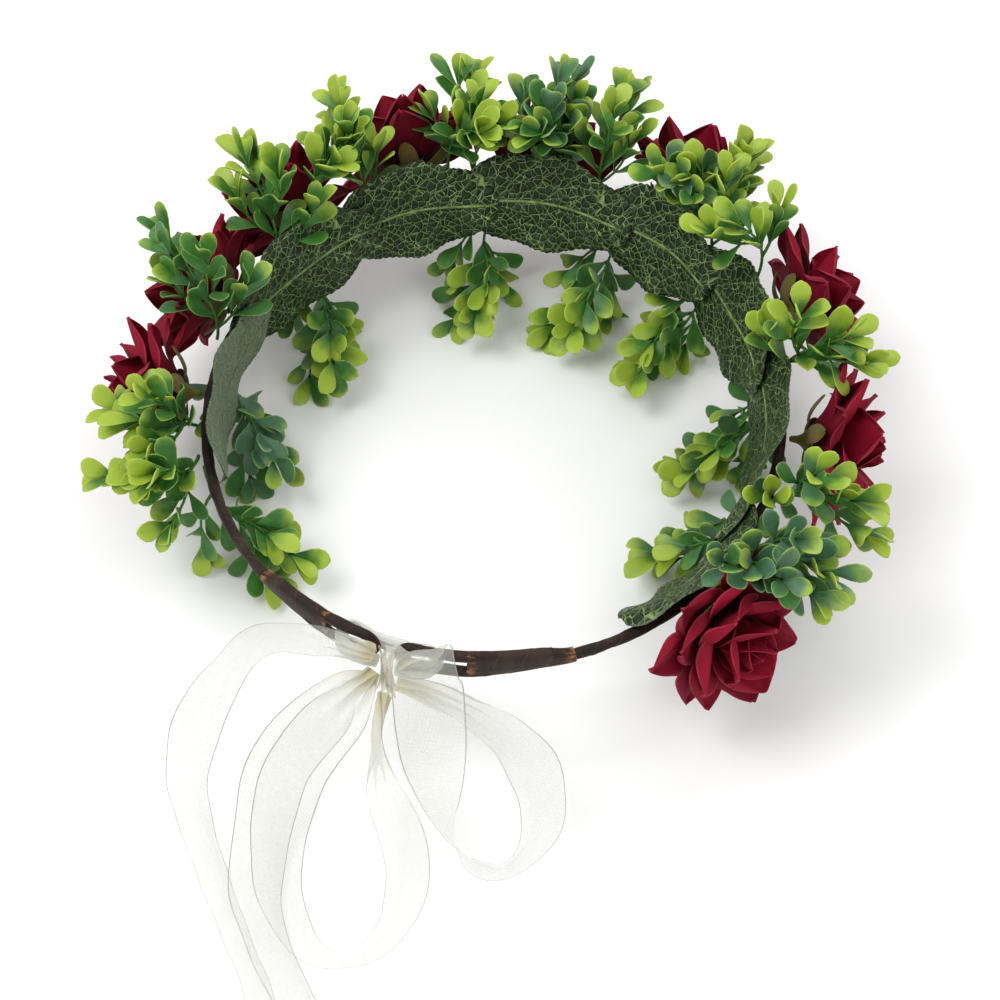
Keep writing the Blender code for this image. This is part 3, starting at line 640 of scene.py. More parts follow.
def sepal_cloth(settings):
    """Ribbed olive cloth that goes rusty towards the tips."""
    finish = Finish("sepal_ribbed_cloth")
    across, along = finish.uv()
    place = finish.place()
    ribs = finish.math("SINE", finish.math("MULTIPLY", along, 150.0))
    threads = finish.math("SINE", finish.math("MULTIPLY", across, 90.0))
    patches = finish.span(finish.noise(place, 90.0), 0.35, 0.65)
    rust = finish.math("MULTIPLY", patches, finish.span(along, 0.1, 0.9))
    colour = finish.mix(rust, settings.sepal, settings.rust)
    colour = finish.mix(finish.span(ribs, -1.0, 1.0, 0.0, 0.45), colour, shade(settings.sepal, 2.4))
    finish.bump(finish.math("MULTIPLY_ADD", threads, 0.35, ribs), 0.00012, 0.8)
    return finish.set(Base_Color=colour, Roughness=0.72, Sheen_Weight=0.2)


# The leaves' print is laid out in millimetres: half its width, the gap between two side veins and
# how far these sweep forward for each millimetre out.
PRINT_HALF_WIDTH = 20.0
VEIN_GAP = 4.6
VEIN_SWEEP = 0.95


def leaf_cloth(settings):
    """Dark printed cloth with a midrib, side veins and a pale net between them, and a bare back."""
    finish = Finish("printed_leaf_cloth")
    across, along = finish.uv()
    back, whole, *_ = finish.tint()
    reach = finish.math("MULTIPLY", finish.math("MULTIPLY_ADD", across, 2.0, -1.0), PRINT_HALF_WIDTH)
    away = finish.math("ABSOLUTE", reach)
    flow = finish.math("MULTIPLY", along, 1.0 / MILLIMETRE)
    flat = finish.joined(reach, flow)
    wander = finish.noise(flat, 0.22, 2.0)
    bent = finish.math("MULTIPLY_ADD", wander, 3.2, flow)
    cells = finish.joined(finish.math("MULTIPLY_ADD", wander, 2.0, reach), bent)
    net = finish.cells(cells, 0.36)
    fine = finish.cells(cells, 0.85)
    swept = finish.math("SUBTRACT", bent, finish.math("MULTIPLY", away, VEIN_SWEEP))
    side_vein = finish.span(finish.math("PINGPONG", swept, VEIN_GAP), 0.05, 0.28, 0.9, 0.0)
    midrib = finish.math("MULTIPLY", finish.span(away, 0.3, 0.8, 1.0, 0.0), whole)
    lines = finish.span(net, 0.008, 0.045, 1.0, 0.0)
    for more in (finish.span(fine, 0.01, 0.04, 0.22, 0.0), side_vein, midrib):
        lines = finish.math("MAXIMUM", lines, more)
    fade = finish.span(finish.noise(flat, 0.12, 2.0), 0.3, 0.7, 0.55, 1.0)
    lines = finish.math("MULTIPLY", lines, fade)
    # Painted sheen: bloom is noise patches of lighter grey-green ground that stand in for light caught on the
    # cloth.
    bloom = finish.span(finish.noise(flat, 0.07, 3.0), 0.42, 0.72)
    ground = finish.mix(bloom, settings.ground, shade(settings.ground, 2.1, 0.012))
    printed = finish.mix(lines, ground, settings.vein)
    weave = finish.noise(flat, 5.0, 2.0)
    bare = finish.mix(weave, shade(settings.reverse, 0.7), shade(settings.reverse, 1.25))
    bare = finish.mix(finish.math("MULTIPLY", lines, 0.35), bare, settings.vein)
    pillow = finish.math("ADD", finish.span(net, 0.0, 0.3), finish.math("MULTIPLY", midrib, 1.1))
    finish.bump(finish.math("MULTIPLY_ADD", weave, 0.15, pillow), 0.0007, 0.75)
    return finish.set(Base_Color=finish.mix(back, printed, bare), Roughness=0.46, Specular_IOR_Level=0.4)


def boxwood_plastic(settings):
    """Soft moulded leaves: teal at the stem, green, then yellow green to the end, with a pale thin rim."""
    finish = Finish("boxwood_plastic")
    across, along = finish.uv()
    lime, cool, dark, _ = finish.tint()
    place = finish.place()
    drift = finish.noise(place, 210.0, 2.0)
    end = shifted_sum(finish, drift, 0.5, -0.25, along)
    end = shifted_sum(finish, lime, 1.3, -0.95, end)
    base = finish.mix(finish.span(cool, 0.35, 0.85), settings.green, settings.teal)
    base = finish.mix(finish.span(drift, 0.35, 0.7, 0.0, 0.4), base, shade(settings.green, 1.8))
    colour = finish.mix(finish.span(end, 0.36, 0.95), base, settings.lime)
    colour = finish.mix(finish.math("MULTIPLY", dark, 0.75), colour, shade(settings.green, 0.28))
    film = finish.span(finish.noise(place, 120.0, 3.0), 0.45, 0.75, 0.0, 0.28)
    colour = finish.mix(finish.math("MULTIPLY", film, cool), colour, settings.frost)
    edge = rim(finish, across, along, (0.86, 1.0), (0.965, 1.0))
    colour = finish.mix(finish.math("MULTIPLY", edge, 0.5), colour, shade(settings.lime, 1.25, 0.1))
    finish.bump(finish.noise(place, 1500.0, 2.0), 0.00012, 0.35)
    return finish.set(
        Base_Color=colour,
        Roughness=finish.span(drift, 0.3, 0.7, 0.36, 0.5),
        Subsurface_Weight=0.12,
        Subsurface_Scale=0.002,
        Specular_IOR_Level=0.42,
    )


def crepe_tape(settings):
    """Waxy crepe paper wound on in a spiral, with a raw edge where it is torn."""
    finish = Finish("crepe_paper_tape")
    around, along = finish.uv()
    torn, *_ = finish.tint()
    place = finish.place()
    wound = finish.math("ADD", finish.math("DIVIDE", along, settings.pitch), around)
    step = finish.math("FRACT", wound)
    lengthwise = finish.math("MULTIPLY", along, 2600.0)
    crepe = finish.noise(finish.joined(finish.math("MULTIPLY", around, 3.0), lengthwise), 1.0, 3.0)
    fibre = finish.noise(place, 900.0, 4.0, 0.65)
    patch = finish.span(finish.noise(place, 120.0, 2.0), 0.35, 0.7)
    colour = finish.mix(patch, settings.tape, shade(settings.tape, 1.9, 0.004))
    colour = finish.mix(finish.span(fibre, 0.55, 0.8, 0.0, 0.5), colour, shade(settings.tape, 3.4, 0.01))
    colour = finish.mix(finish.span(step, 0.0, 0.06, 0.55, 0.0), colour, shade(settings.tape, 4.2, 0.015))
    colour = finish.mix(finish.math("MULTIPLY", torn, finish.span(fibre, 0.3, 0.6)), colour, settings.torn)
    height = finish.math("ADD", finish.math("MULTIPLY", crepe, 0.5), finish.math("MULTIPLY", fibre, 0.8))
    height = finish.math("ADD", height, finish.span(step, 0.0, 0.12, 0.0, 0.7))
    finish.bump(height, 0.0003, 0.8)
    return finish.set(Base_Color=colour, Roughness=0.62, Specular_IOR_Level=0.35, Sheen_Weight=0.08)


THREAD_SPACING = 0.00042


def organza(settings, name, dense):
    """Sheer plain weave with a fine closed edge; dense is how far a gathered piece hides what is behind."""
    finish = Finish(name)
    across, along = finish.uv()
    gather, *_ = finish.tint()
    threads = 2 * math.pi / THREAD_SPACING
    warp = finish.math("SINE", finish.math("MULTIPLY", across, threads * settings.width))
    weft = finish.math("SINE", finish.math("MULTIPLY", along, threads))
    weave = finish.math("MULTIPLY_ADD", finish.math("ADD", warp, weft), 0.25, 0.5)
    edge = finish.span(edge_share(finish, across), 0.955, 0.975)
    slow = finish.joined(finish.math("MULTIPLY", across, 2.0), finish.math("MULTIPLY", along, 60.0))
    ripple = finish.noise(slow, 1.5, 3.0)
    cover = finish.math("MULTIPLY_ADD", weave, 0.16, settings.cover - 0.08)
    cover = shifted_sum(finish, ripple, 0.14, -0.07, cover)
    cover = finish.math("ADD", cover, finish.math("MULTIPLY", gather, dense))
    cover = finish.math("MAXIMUM", cover, finish.math("MULTIPLY", edge, 0.88))
    colour = finish.mix(finish.span(gather, 0.15, 0.85), settings.cloth, settings.gathered)
    colour = finish.mix(finish.math("MULTIPLY", edge, 0.75), colour, settings.selvedge)
    finish.bump(finish.math("MULTIPLY_ADD", ripple, 1.0, finish.math("MULTIPLY", weave, 0.15)), 0.0006, 0.35)
    finish.material.surface_render_method = "BLENDED"
    return finish.set(
        Base_Color=colour,
        Alpha=finish.math("MINIMUM", cover, 0.97),
        Roughness=0.55,
        Sheen_Weight=0.3,
        Specular_IOR_Level=0.3,
    )


def drawn_steel(settings):
    """Dull drawn wire with fine streaks."""
    finish = Finish("florist_wire")
    streaks = finish.noise(finish.place(), 1800.0, 3.0)
    colour = finish.mix(streaks, settings.wire, shade(settings.wire, 1.72))
    finish.bump(streaks, 0.00005, 0.4)
    return finish.set(Base_Color=colour, Metallic=1.0, Roughness=finish.span(streaks, 0.3, 0.7, 0.3, 0.5))


# ---------------------------------------------------------------- roses


ROSE_COUNT = 9
# One ring of petals: how many, foot radius and foot height as shares of the bloom's radius and
# depth, length against depth, lean from the axis at foot and tip in degrees, half width against
# the radius, how far the sides roll back and how hard the middle is creased.
PETAL_RINGS = (
    (3, 0.03, 0.16, 0.72, 2.0, -8.0, 0.30, 10.0, 0.0),
    (3, 0.09, 0.14, 0.82, 6.0, 14.0, 0.42, 50.0, 0.2),
    (4, 0.16, 0.10, 0.88, 12.0, 34.0, 0.50, 80.0, 0.4),
    (5, 0.22, 0.05, 0.94, 24.0, 56.0, 0.52, 105.0, 0.6),
    (5, 0.26, 0.02, 0.98, 42.0, 76.0, 0.50, 115.0, 0.8),
    (6, 0.28, -0.01, 0.94, 60.0, 96.0, 0.44, 105.0, 1.0),
)
# A petal's half width along its length.
PETAL_OUTLINE = (
    (0.0, 0.36), (0.15, 0.62), (0.35, 0.93), (0.5, 1.0),
    (0.66, 0.90), (0.82, 0.60), (0.93, 0.27), (1.0, 0.01),
)
# Each side folds back beyond this share of the half width.
PETAL_FOLD = 0.6
PETAL_STEPS = 32
# A hip's sections: height as a share of the way to the bloom, and radius.
HIP_SECTIONS = ((0.0, 0.0011), (0.35, 0.0012), (0.55, 0.0024), (0.75, 0.0042), (0.92, 0.0050), (1.0, 0.0040))
SEPAL_FOOT = 0.0042
SEPAL_HALF_WIDTH = 0.0042
SEPAL_LENGTH_SHARE = 0.62
SEPAL_THICKNESS = 0.0003


def petal_points(corners, foot, height, length, lean, tip_lean, half, roll, crease, rng):
    """One petal in the rose's own axes: Z along the bloom, X out through the petal's middle.

    It leans further out towards its tip, wraps a little round the bloom, has a crease down its
    middle, and each side is folded back along a line that runs up to the tip.
    """
    across, along = corners[:, 0] * 2.0 - 1.0, corners[:, 1]
    steps = np.linspace(0.0, 1.0, PETAL_STEPS + 1)
    angles = np.radians(lean + (tip_lean - lean) * ease(0.1, 1.0, steps) + rng.uniform(-6.0, 6.0))
    out = foot + length * np.r_[0.0, np.cumsum(np.sin(angles[:-1]))] / PETAL_STEPS
    up = height + length * np.r_[0.0, np.cumsum(np.cos(angles[:-1]))] / PETAL_STEPS
    knots, widths = zip(*PETAL_OUTLINE)
    width = half * np.interp(along, knots, widths)
    lean_here = np.interp(along, steps, angles)
    off = np.abs(across)
    open_left, open_right = rng.uniform(0.5, 1.1), rng.uniform(0.5, 1.1)
    opened = np.where(across < 0.0, open_left, open_right)
    fold = np.radians(roll) * opened * ease(0.2, 0.75, along)
    turned = np.maximum(off - PETAL_FOLD, 0.0)
    reach = np.sign(across) * (np.minimum(off, PETAL_FOLD) + turned * np.cos(fold)) * width
    bend = np.maximum(np.interp(along, steps, out) * 1.3 + 0.4 * half, 0.6 * half)
    inward = bend * (1.0 - np.cos(reach / bend))
    valley = crease * 0.16 * half * (1.0 - np.clip(off / PETAL_FOLD, 0.0, 1.0)) * ease(0.1, 0.5, along)
    ripple = 0.035 * half * np.sin(6.0 * along + rng.uniform(0, 6.3) + 2.0 * across) * ease(0.2, 1.0, along)
    push = -inward + turned * np.sin(fold) * width + valley + ripple
    x = np.interp(along, steps, out) + push * np.cos(lean_here)
    z = np.interp(along, steps, up) - push * np.sin(lean_here)
    sway = half * 0.16 * rng.uniform(-1.0, 1.0) * along**2
    return np.stack([x, bend * np.sin(reach / bend) + sway, z], axis=1)


def rose_frame(number):
    """The bloom's axes, how far its back is from its seat, its depth and its radius, from the CAD nodes."""
    bloom = node_points(f"rose_{number}_bloom")
    calyx = node_points(f"rose_{number}_calyx")
    seat = calyx.mean(axis=0)
    axis = unit(bloom.mean(axis=0) - seat)
    origin = Vector(seat + axis * ((calyx - seat) @ axis).min())
    off = bloom - np.array(origin)
    along = off @ axis
    radius = np.linalg.norm(off - np.outer(along, axis), axis=1).max()
    turn = Vector((0.0, 0.0, 1.0)).rotation_difference(Vector(axis)).to_matrix().to_4x4()
    return Matrix.Translation(origin) @ turn, float(along.min()), float(np.ptp(along)), float(radius)


def moved(points, matrix):
    """The points carried from a set of axes to the crown's own."""
    matrix = np.array(matrix)
    return points @ matrix[:3, :3].T + matrix[:3, 3]


def turned_about_z(points, degrees):
    turn = math.radians(degrees)
    c, s = math.cos(turn), math.sin(turn)
    return points @ np.array(((c, s, 0.0), (-s, c, 0.0), (0.0, 0.0, 1.0)))


def build_rose(number, settings, sheet):
    """One bloom: rings of petals about its axis, each a little different."""
    rng = random.Random(40 + number)
    corners, faces = sheet
    axes, back, depth, radius = rose_frame(number)
    heap = Heap()
    start = rng.uniform(0.0, 360.0)
    for count, foot, height, length, lean, tip_lean, half, roll, crease in PETAL_RINGS:
        start += rng.uniform(25.0, 60.0)
        for petal in range(count):
            grow = rng.uniform(0.92, 1.08)
            points = petal_points(
                corners,
                foot * radius,
                back + height * depth,
                length * depth * grow,
                lean,
                tip_lean,
                half * radius * grow,
                roll,
                crease,
                rng,
            )
            points = turned_about_z(points, start + 360.0 * petal / count + rng.uniform(-9.0, 9.0))
            heap.add(moved(points, axes), faces, corners, (rng.random(), 0.0, 0.0, 0.0))
    rose = heap.make(f"rose_{number}_flower")
    apply_modifier(rose, "SOLIDIFY", thickness=settings.thickness, offset=0.0)
    apply_modifier(rose, "SUBSURF", levels=1, render_levels=1)
    return rose


def build_calyx(number, sheet):
    """A turned hip with five sepals laid back over the foot of the bloom."""
    rng = random.Random(80 + number)
    corners, faces = sheet
    axes, back, _, radius = rose_frame(number)
    heap = Heap()
    shares, radii = zip(*HIP_SECTIONS)
    points, quads, uvs = skin(tube_rings([(0.0, 0.0, share * back) for share in shares], radii, 12))
    heap.add(moved(points, axes), quads, uvs)
    across, along = corners[:, 0] * 2.0 - 1.0, corners[:, 1]
    outline = (0.55 + 0.6 * along) * np.sqrt(np.maximum(1.0 - along**2.6, 0.0))
    for sepal in range(5):
        length = SEPAL_LENGTH_SHARE * radius * rng.uniform(0.9, 1.15)
        width = SEPAL_HALF_WIDTH * outline + 0.0002
        out = SEPAL_FOOT + length * along * 0.85
        up = back * 0.80 + length * 0.36 * along**2 - 0.0012 * along * (1 - along) - 0.0009
        cup = 0.0009 * (1.0 - across**2) * ease(0.0, 0.4, along)
        leaf = np.stack([out, width * across, up - cup], axis=1)
        leaf = turned_about_z(leaf, 72.0 * sepal + rng.uniform(-8.0, 8.0))
        heap.add(moved(leaf, axes), faces, corners)
    calyx = heap.make(f"rose_{number}_sepals")
    apply_modifier(calyx, "SOLIDIFY", thickness=SEPAL_THICKNESS, offset=-1.0)
    apply_modifier(calyx, "SUBSURF", levels=1, render_levels=1)
    return calyx


class CROWN_OT_roses(bpy.types.Operator):
    """Make the nine cloth roses and their sepals"""

    bl_idname = "crown.roses"
    bl_label = "Make roses"

    def execute(self, context):
        settings = context.scene.crown_rose
        petal_finish, sepal_finish = petal_cloth(settings), sepal_cloth(settings)
        petal_sheet, sepal_sheet = plain_sheet(10, 10), plain_sheet(4, 6)
        for number in range(1, ROSE_COUNT + 1):
            rose = build_rose(number, settings, petal_sheet)
            finish_piece(rose, "garland", petal_finish, [f"rose_{number}_bloom"])
            calyx = build_calyx(number, sepal_sheet)
            finish_piece(calyx, "garland", sepal_finish, [f"rose_{number}_calyx"])
        return {"FINISHED"}


# ---------------------------------------------------------------- cloth leaves

LEAF_COUNT = 8
# How far inside the wire a leaf's midrib is, how far above it, and how much further in the tip comes
# to pass over the next leaf.
LEAF_SEAT = 0.00285
LEAF_RISE = 0.0020
LEAF_STEP_BACK = 0.0034
LEAF_THICKNESS = 0.0005
TOOTH_LENGTH = 0.00256
FIRST_LEAF_WIDTH = 0.8
# How far the lining's top leans out, from the left end of the garland to the right end.
JOINT_LEANS = (8.0, 8.0, 16.0, 22.0, 25.0, 25.0, 20.0, 14.0, 48.0)


def leaf_width(number, settings):
    """The leaf at the left end of the garland is a narrower one."""
    return settings.width * (FIRST_LEAF_WIDTH if number == 1 else 1.0)


def leaf_run(number):
    """Where the leaf starts and ends on the ring, in degrees, and its length along the ring."""
    angles = ring_angles(node_points(f"lining_leaf_{number}"))
    start, end = float(angles.max()), float(angles.min())
    return start, end, math.radians(start - end) * (RING_HALF_WIDTH + RING_HALF_DEPTH) / 2


def build_leaf(number, settings, sheet):
    """One leaf along the ring, with a toothed edge, puckered sides and a bare back."""
    rng = random.Random(120 + number)
    corners, faces = sheet
    start, end, length = leaf_run(number)
    across, along = corners[:, 0] * 2.0 - 1.0, corners[:, 1]
    half = leaf_width(number, settings) / 2 * (0.10 + 0.90 * np.sin(np.pi * np.clip(along, 0, 1)) ** 0.60)
    teeth = (along * length / TOOTH_LENGTH + 0.3 * across) % 1.0
    half = half * (1.0 - 0.045 * teeth * ease(0.86, 1.0, np.abs(across)))
    first_lean, last_lean = JOINT_LEANS[number - 1 : number + 1]
    lean = np.radians(first_lean + (last_lean - first_lean) * along)
    step_back = 0.0 if number == LEAF_COUNT else LEAF_STEP_BACK
    inset = LEAF_SEAT / np.cos(lean) + step_back * along
    phase = rng.uniform(0.0, 6.3)
    pucker = 0.0011 * across**2 * np.sin(along * 17.0 + phase + 1.3 * np.sign(across))
    pucker += 0.0006 * np.sin(along * 9.0 + 2.0 * across + phase)
    rib = 0.0007 * np.exp(-((across / 0.07) ** 2))
    cup = 0.0016 * (1.0 - np.abs(across)) + pucker - rib
    out = -inset - cup + across * half * np.sin(lean)
    up = across * half * np.cos(lean) + LEAF_RISE
    points = []
    for share, o, u in zip(along, out, up):
        points.append(ring_frame(start + (end - start) * share) @ Vector((o, 0.0, u)))
    heap = Heap()
    uvs = np.stack([0.5 + 0.5 * across * half / (settings.width / 2), along * length], axis=1)
    tint = np.zeros((len(corners), 4))
    tint[:, 1] = ease(0.0, 0.12, along) * ease(0.0, 0.12, 1.0 - along)
    heap.add(np.array([tuple(point) for point in points]), faces, uvs, tint)
    leaf = heap.make(f"lining_leaf_{number}_cloth")
    apply_modifier(leaf, "SOLIDIFY", thickness=LEAF_THICKNESS, offset=0.0)
    paint_reverse(leaf, number == 1)
    return leaf


def paint_reverse(leaf, turned_round):
    """Marks the cloth's bare back: the side that looks away from the ring's middle, unless turned round."""
    layer = leaf.data.attributes["tint"].data
    for vertex in leaf.data.vertices:
        outward = Vector((vertex.co.x, vertex.co.y, 0.0))
        bare = (vertex.normal.dot(outward) > 0.0) != turned_round
        layer[vertex.index].color = (float(bare), *layer[vertex.index].color[1:])


class CROWN_OT_leaves(bpy.types.Operator):
    """Make the printed cloth leaves that line the garland"""

    bl_idname = "crown.leaves"
    bl_label = "Make lining leaves"

    def execute(self, context):
        settings = context.scene.crown_leaf
        finish = leaf_cloth(settings)
        sheet = plain_sheet(16, 72)
        for number in range(1, LEAF_COUNT + 1):
            leaf = build_leaf(number, settings, sheet)
            finish_piece(leaf, "garland", finish, [f"lining_leaf_{number}"])
            flat = (leaf_width(number, settings), leaf_run(number)[2])
        return {"FINISHED"}


# ---------------------------------------------------------------- sprigs

# A spoon leaf's half width along its length, both as shares of the length, and its columns across.
LEAF_ROWS = (
    (0.0, 0.035), (0.16, 0.045), (0.34, 0.120), (0.54, 0.210),
    (0.71, 0.250), (0.86, 0.222), (0.95, 0.140), (1.0, 0.03),
)
LEAF_COLUMNS = (-1.0, -0.86, 0.0, 0.86, 1.0)


def spoon_leaf(cup, bend):
    """A closed spoon-shaped leaf, one unit long along X, thin at its rim: points, faces and UVs."""
    points, uvs, index = [], [], {}
    for row, (along, half) in enumerate(LEAF_ROWS):
        for column, across in enumerate(LEAF_COLUMNS):
            on_rim = row in (0, len(LEAF_ROWS) - 1) or abs(across) == 1.0
            lift = cup * half * (across**2) - bend * along**2
            for side in (1.0, -1.0):
                if on_rim and side < 0:
                    index[row, column, side] = index[row, column, 1.0]
                    continue
                thick = 0.0 if on_rim else 0.028 - 0.012 * abs(across)
                index[row, column, side] = len(points)
                points.append((along, half * across, lift + side * thick))
                uvs.append((0.5 + 0.5 * across, along))
    faces = []
    for row in range(len(LEAF_ROWS) - 1):
        for column in range(len(LEAF_COLUMNS) - 1):
            for side in (1.0, -1.0):
                quad = [
                    index[row, column, side],
                    index[row + 1, column, side],
                    index[row + 1, column + 1, side],
                    index[row, column + 1, side],
                ]
                faces.append(quad if side > 0 else quad[::-1])
    return np.array(points), np.array(faces), np.array(uvs)


LEAF_SHAPES = (spoon_leaf(0.25, 0.06), spoon_leaf(0.45, 0.14), spoon_leaf(0.10, -0.06), spoon_leaf(0.6, 0.02))
STEM_CLEARANCE = 0.002
# A stem takes its colour from this place on a leaf, and these are its numbers for the finish.
STEM_UV = (0.5, 0.15)
STEM_LIME, STEM_COOL, STEM_DARK = 0.45, 0.4, 0.1


def leaf_axes(grow, face):
    """A turn that takes X to the way the leaf grows and Z to the way that it faces."""
    grow = unit(grow)
    side = unit(np.cross(face, grow))
    return np.stack([grow, side, np.cross(grow, side)], axis=1)


def add_twig(heap, path, settings, rng, pairs, first, size, lime, cool):
    """A stem along a path with opposite pairs of leaves and three at its end, all kept above the floor.

    Its leaves' numbers for the finish are how lime, cool and dark each is, and one of its own.
    """
    path = np.column_stack([path[:, :2], np.maximum(path[:, 2], FLOOR_HEIGHT + STEM_CLEARANCE)])
    radii = settings.stem_radius * np.linspace(1.0, 0.62, len(path))
    points, quads, _ = skin(tube_rings(path, radii, 6))
    heap.add(points, quads, np.tile(STEM_UV, (len(points), 1)), (STEM_LIME, cool * STEM_COOL, STEM_DARK, 0.0))
    lengths = np.r_[0.0, np.cumsum(np.linalg.norm(np.diff(path, axis=0), axis=1))]
    tangents = unit(np.gradient(path, axis=0))
    spin = rng.uniform(0.0, math.pi)
    for pair in range(pairs + 1):
        share = first + (1.0 - first) * pair / max(pairs, 1)
        want = lengths[-1] * share
        place = np.array([np.interp(want, lengths, path[:, k]) for k in range(3)])
        along = unit(np.array([np.interp(want, lengths, tangents[:, k]) for k in range(3)]))
        side = unit(np.cross(along, (0.13, 0.21, 0.97)))
        other = np.cross(along, side)
        spin += math.pi / 2 + rng.uniform(-0.5, 0.5)
        last = pair == pairs
        count = 3 if last else 2
        for leaf in range(count):
            turn = spin + 2 * math.pi * leaf / count + rng.uniform(-0.25, 0.25)
            away = side * math.cos(turn) + other * math.sin(turn)
            opened = rng.uniform(0.3, 0.7) if last else rng.uniform(0.6, 1.1)
            grow = along + away * opened
            sideways = rng.uniform(-0.4, 0.4) * np.cross(along, away)
            face = along * 0.4 - away * 0.45 + np.array((0.1, -0.25, 0.9)) + sideways
            shape, faces, leaf_uvs = LEAF_SHAPES[rng.randrange(len(LEAF_SHAPES))]
            scale = settings.leaf_length * size * rng.uniform(0.82, 1.1) * (1.0 - 0.15 * abs(share - 0.6))
            wide = np.array((1.0, rng.uniform(0.88, 1.12), 1.0))
            points = place + (shape * wide * scale) @ leaf_axes(grow, face).T
            too_low = (FLOOR_HEIGHT - points[:, 2]) / np.maximum(shape[:, 0], 0.3)
            points[:, 2] += shape[:, 0] * max(0.0, too_low.max())
            own_lime = min(1.0, max(0.0, lime * (0.35 + 0.75 * share) + rng.uniform(-0.35, 0.2)))
            own_dark = max(0.0, 0.55 - share) * rng.uniform(0.5, 1.5)
            own_cool = min(1.0, cool * rng.uniform(0.5, 1.3))
            heap.add(points, faces, leaf_uvs, (own_lime, own_cool, own_dark, rng.random()))


def bezier(root, control, tip, steps):
    """Points along a curve that leaves the root towards the control and comes to the tip from it."""
    t = np.linspace(0.0, 1.0, steps)[:, None]
    return (1 - t) ** 2 * root + 2 * t * (1 - t) * control + t**2 * tip


def build_sprig(name, root, control, tip, settings, rng, pairs, branches, first, lime, cool, size=1.0):
    """A sprig: its main stem and the branches off it. The leaves start a share of the way up, at first."""
    heap = Heap()
    main = bezier(root, control, tip, 12)
    add_twig(heap, main, settings, rng, pairs, first, size, lime, cool)
    spine = unit(np.gradient(main, axis=0))
    for branch in range(branches):
        share = first * 0.75 + (0.72 - first * 0.75) * branch / max(branches - 1, 1)
        at = int(round(share * (len(main) - 1)))
        along = spine[at]
        side = unit(np.cross(along, (0.2, -0.1, 0.97)))
        other = np.cross(along, side)
        turn = 2.4 * branch + rng.uniform(-0.4, 0.4)
        away = side * math.cos(turn) + other * math.sin(turn)
        length = rng.uniform(0.013, 0.019) * size
        start = main[at]
        end = start + unit(along * 0.95 + away * 0.75) * length
        middle = start + unit(along * 0.4 + away) * length * 0.5
        twig = bezier(start, middle, end, 6)
        add_twig(heap, twig, settings, rng, 2, 0.35, size * 0.9, lime * rng.uniform(0.8, 1.1), cool)
    return heap.make(name)


# How far a sprig's last leaves reach past the end of its stem.
LEAF_BEYOND = 0.0140
# Where along a stem it passes its node's middle, and how much sooner the two front sprigs end.
UPPER_BEND, LOWER_BEND = 0.70, 0.72
FRONT_SPRIGS, FRONT_DRAWN_IN = 2, 0.013


def sprig_route(node, through, drawn_in=0.0):
    """Root, bend and tip of a sprig's stem, from the CAD node; drawn_in stops it that much sooner.

    The stem passes through the node's middle at the share of its curve called through.
    """
    points = node_points(node)
    turns = np.radians(ring_angles(points))
    ring = np.stack([RING_HALF_WIDTH * np.cos(turns), RING_HALF_DEPTH * np.sin(turns), 0 * turns], axis=1)
    root = points[np.linalg.norm(points - ring, axis=1).argmin()]
    tip = points[np.linalg.norm(points - root, axis=1).argmax()]
    middle = points.mean(axis=0)
    rest = 1 - through
    control = (middle - rest**2 * root - through**2 * tip) / (2 * through * rest)
    return root, control, tip - unit(tip - root) * (LEAF_BEYOND + drawn_in)


# Each sprig's look: how lime its ends are and how blue its leaves are, in the order of the nodes.
UPPER_TONES = (
    (0.85, 0.25), (0.95, 0.30), (0.55, 0.45), (0.80, 0.30), (0.90, 0.20), (0.75, 0.25),
    (0.45, 0.75), (0.85, 0.40), (0.95, 0.45), (0.95, 0.25), (0.85, 0.55), (0.70, 0.85),
)
LOWER_TONES = (
    (0.85, 0.40), (0.55, 0.85), (0.75, 0.55), (0.85, 0.50),
    (0.85, 0.55), (0.90, 0.35), (0.80, 0.50), (0.80, 0.75),
)

# Short sprigs that bend back over the lining's top edge, by their root and their bend, each out, along
# and up from the wire, and their tip's height; then for each one its angle, how far out and along the
# ring the tip is, and its two tones.
FILLER_ROOT = (0.0035, 0.0, 0.0045)
FILLER_BEND = (0.0120, 0.0, 0.0230)
FILLER_HEIGHT = 0.0300
FILLERS = (
    (150.0, 0.0040, -0.0060, 0.85, 0.20),
    (121.0, 0.0010, -0.0080, 0.95, 0.10),
    (96.0, 0.0040, 0.0060, 0.55, 0.70),
    (77.0, 0.0020, -0.0070, 0.60, 0.75),
    (66.0, 0.0050, 0.0050, 0.85, 0.35),
    (49.0, 0.0020, 0.0070, 0.90, 0.40),
    (338.0, 0.0160, -0.0060, 0.50, 0.95),
)


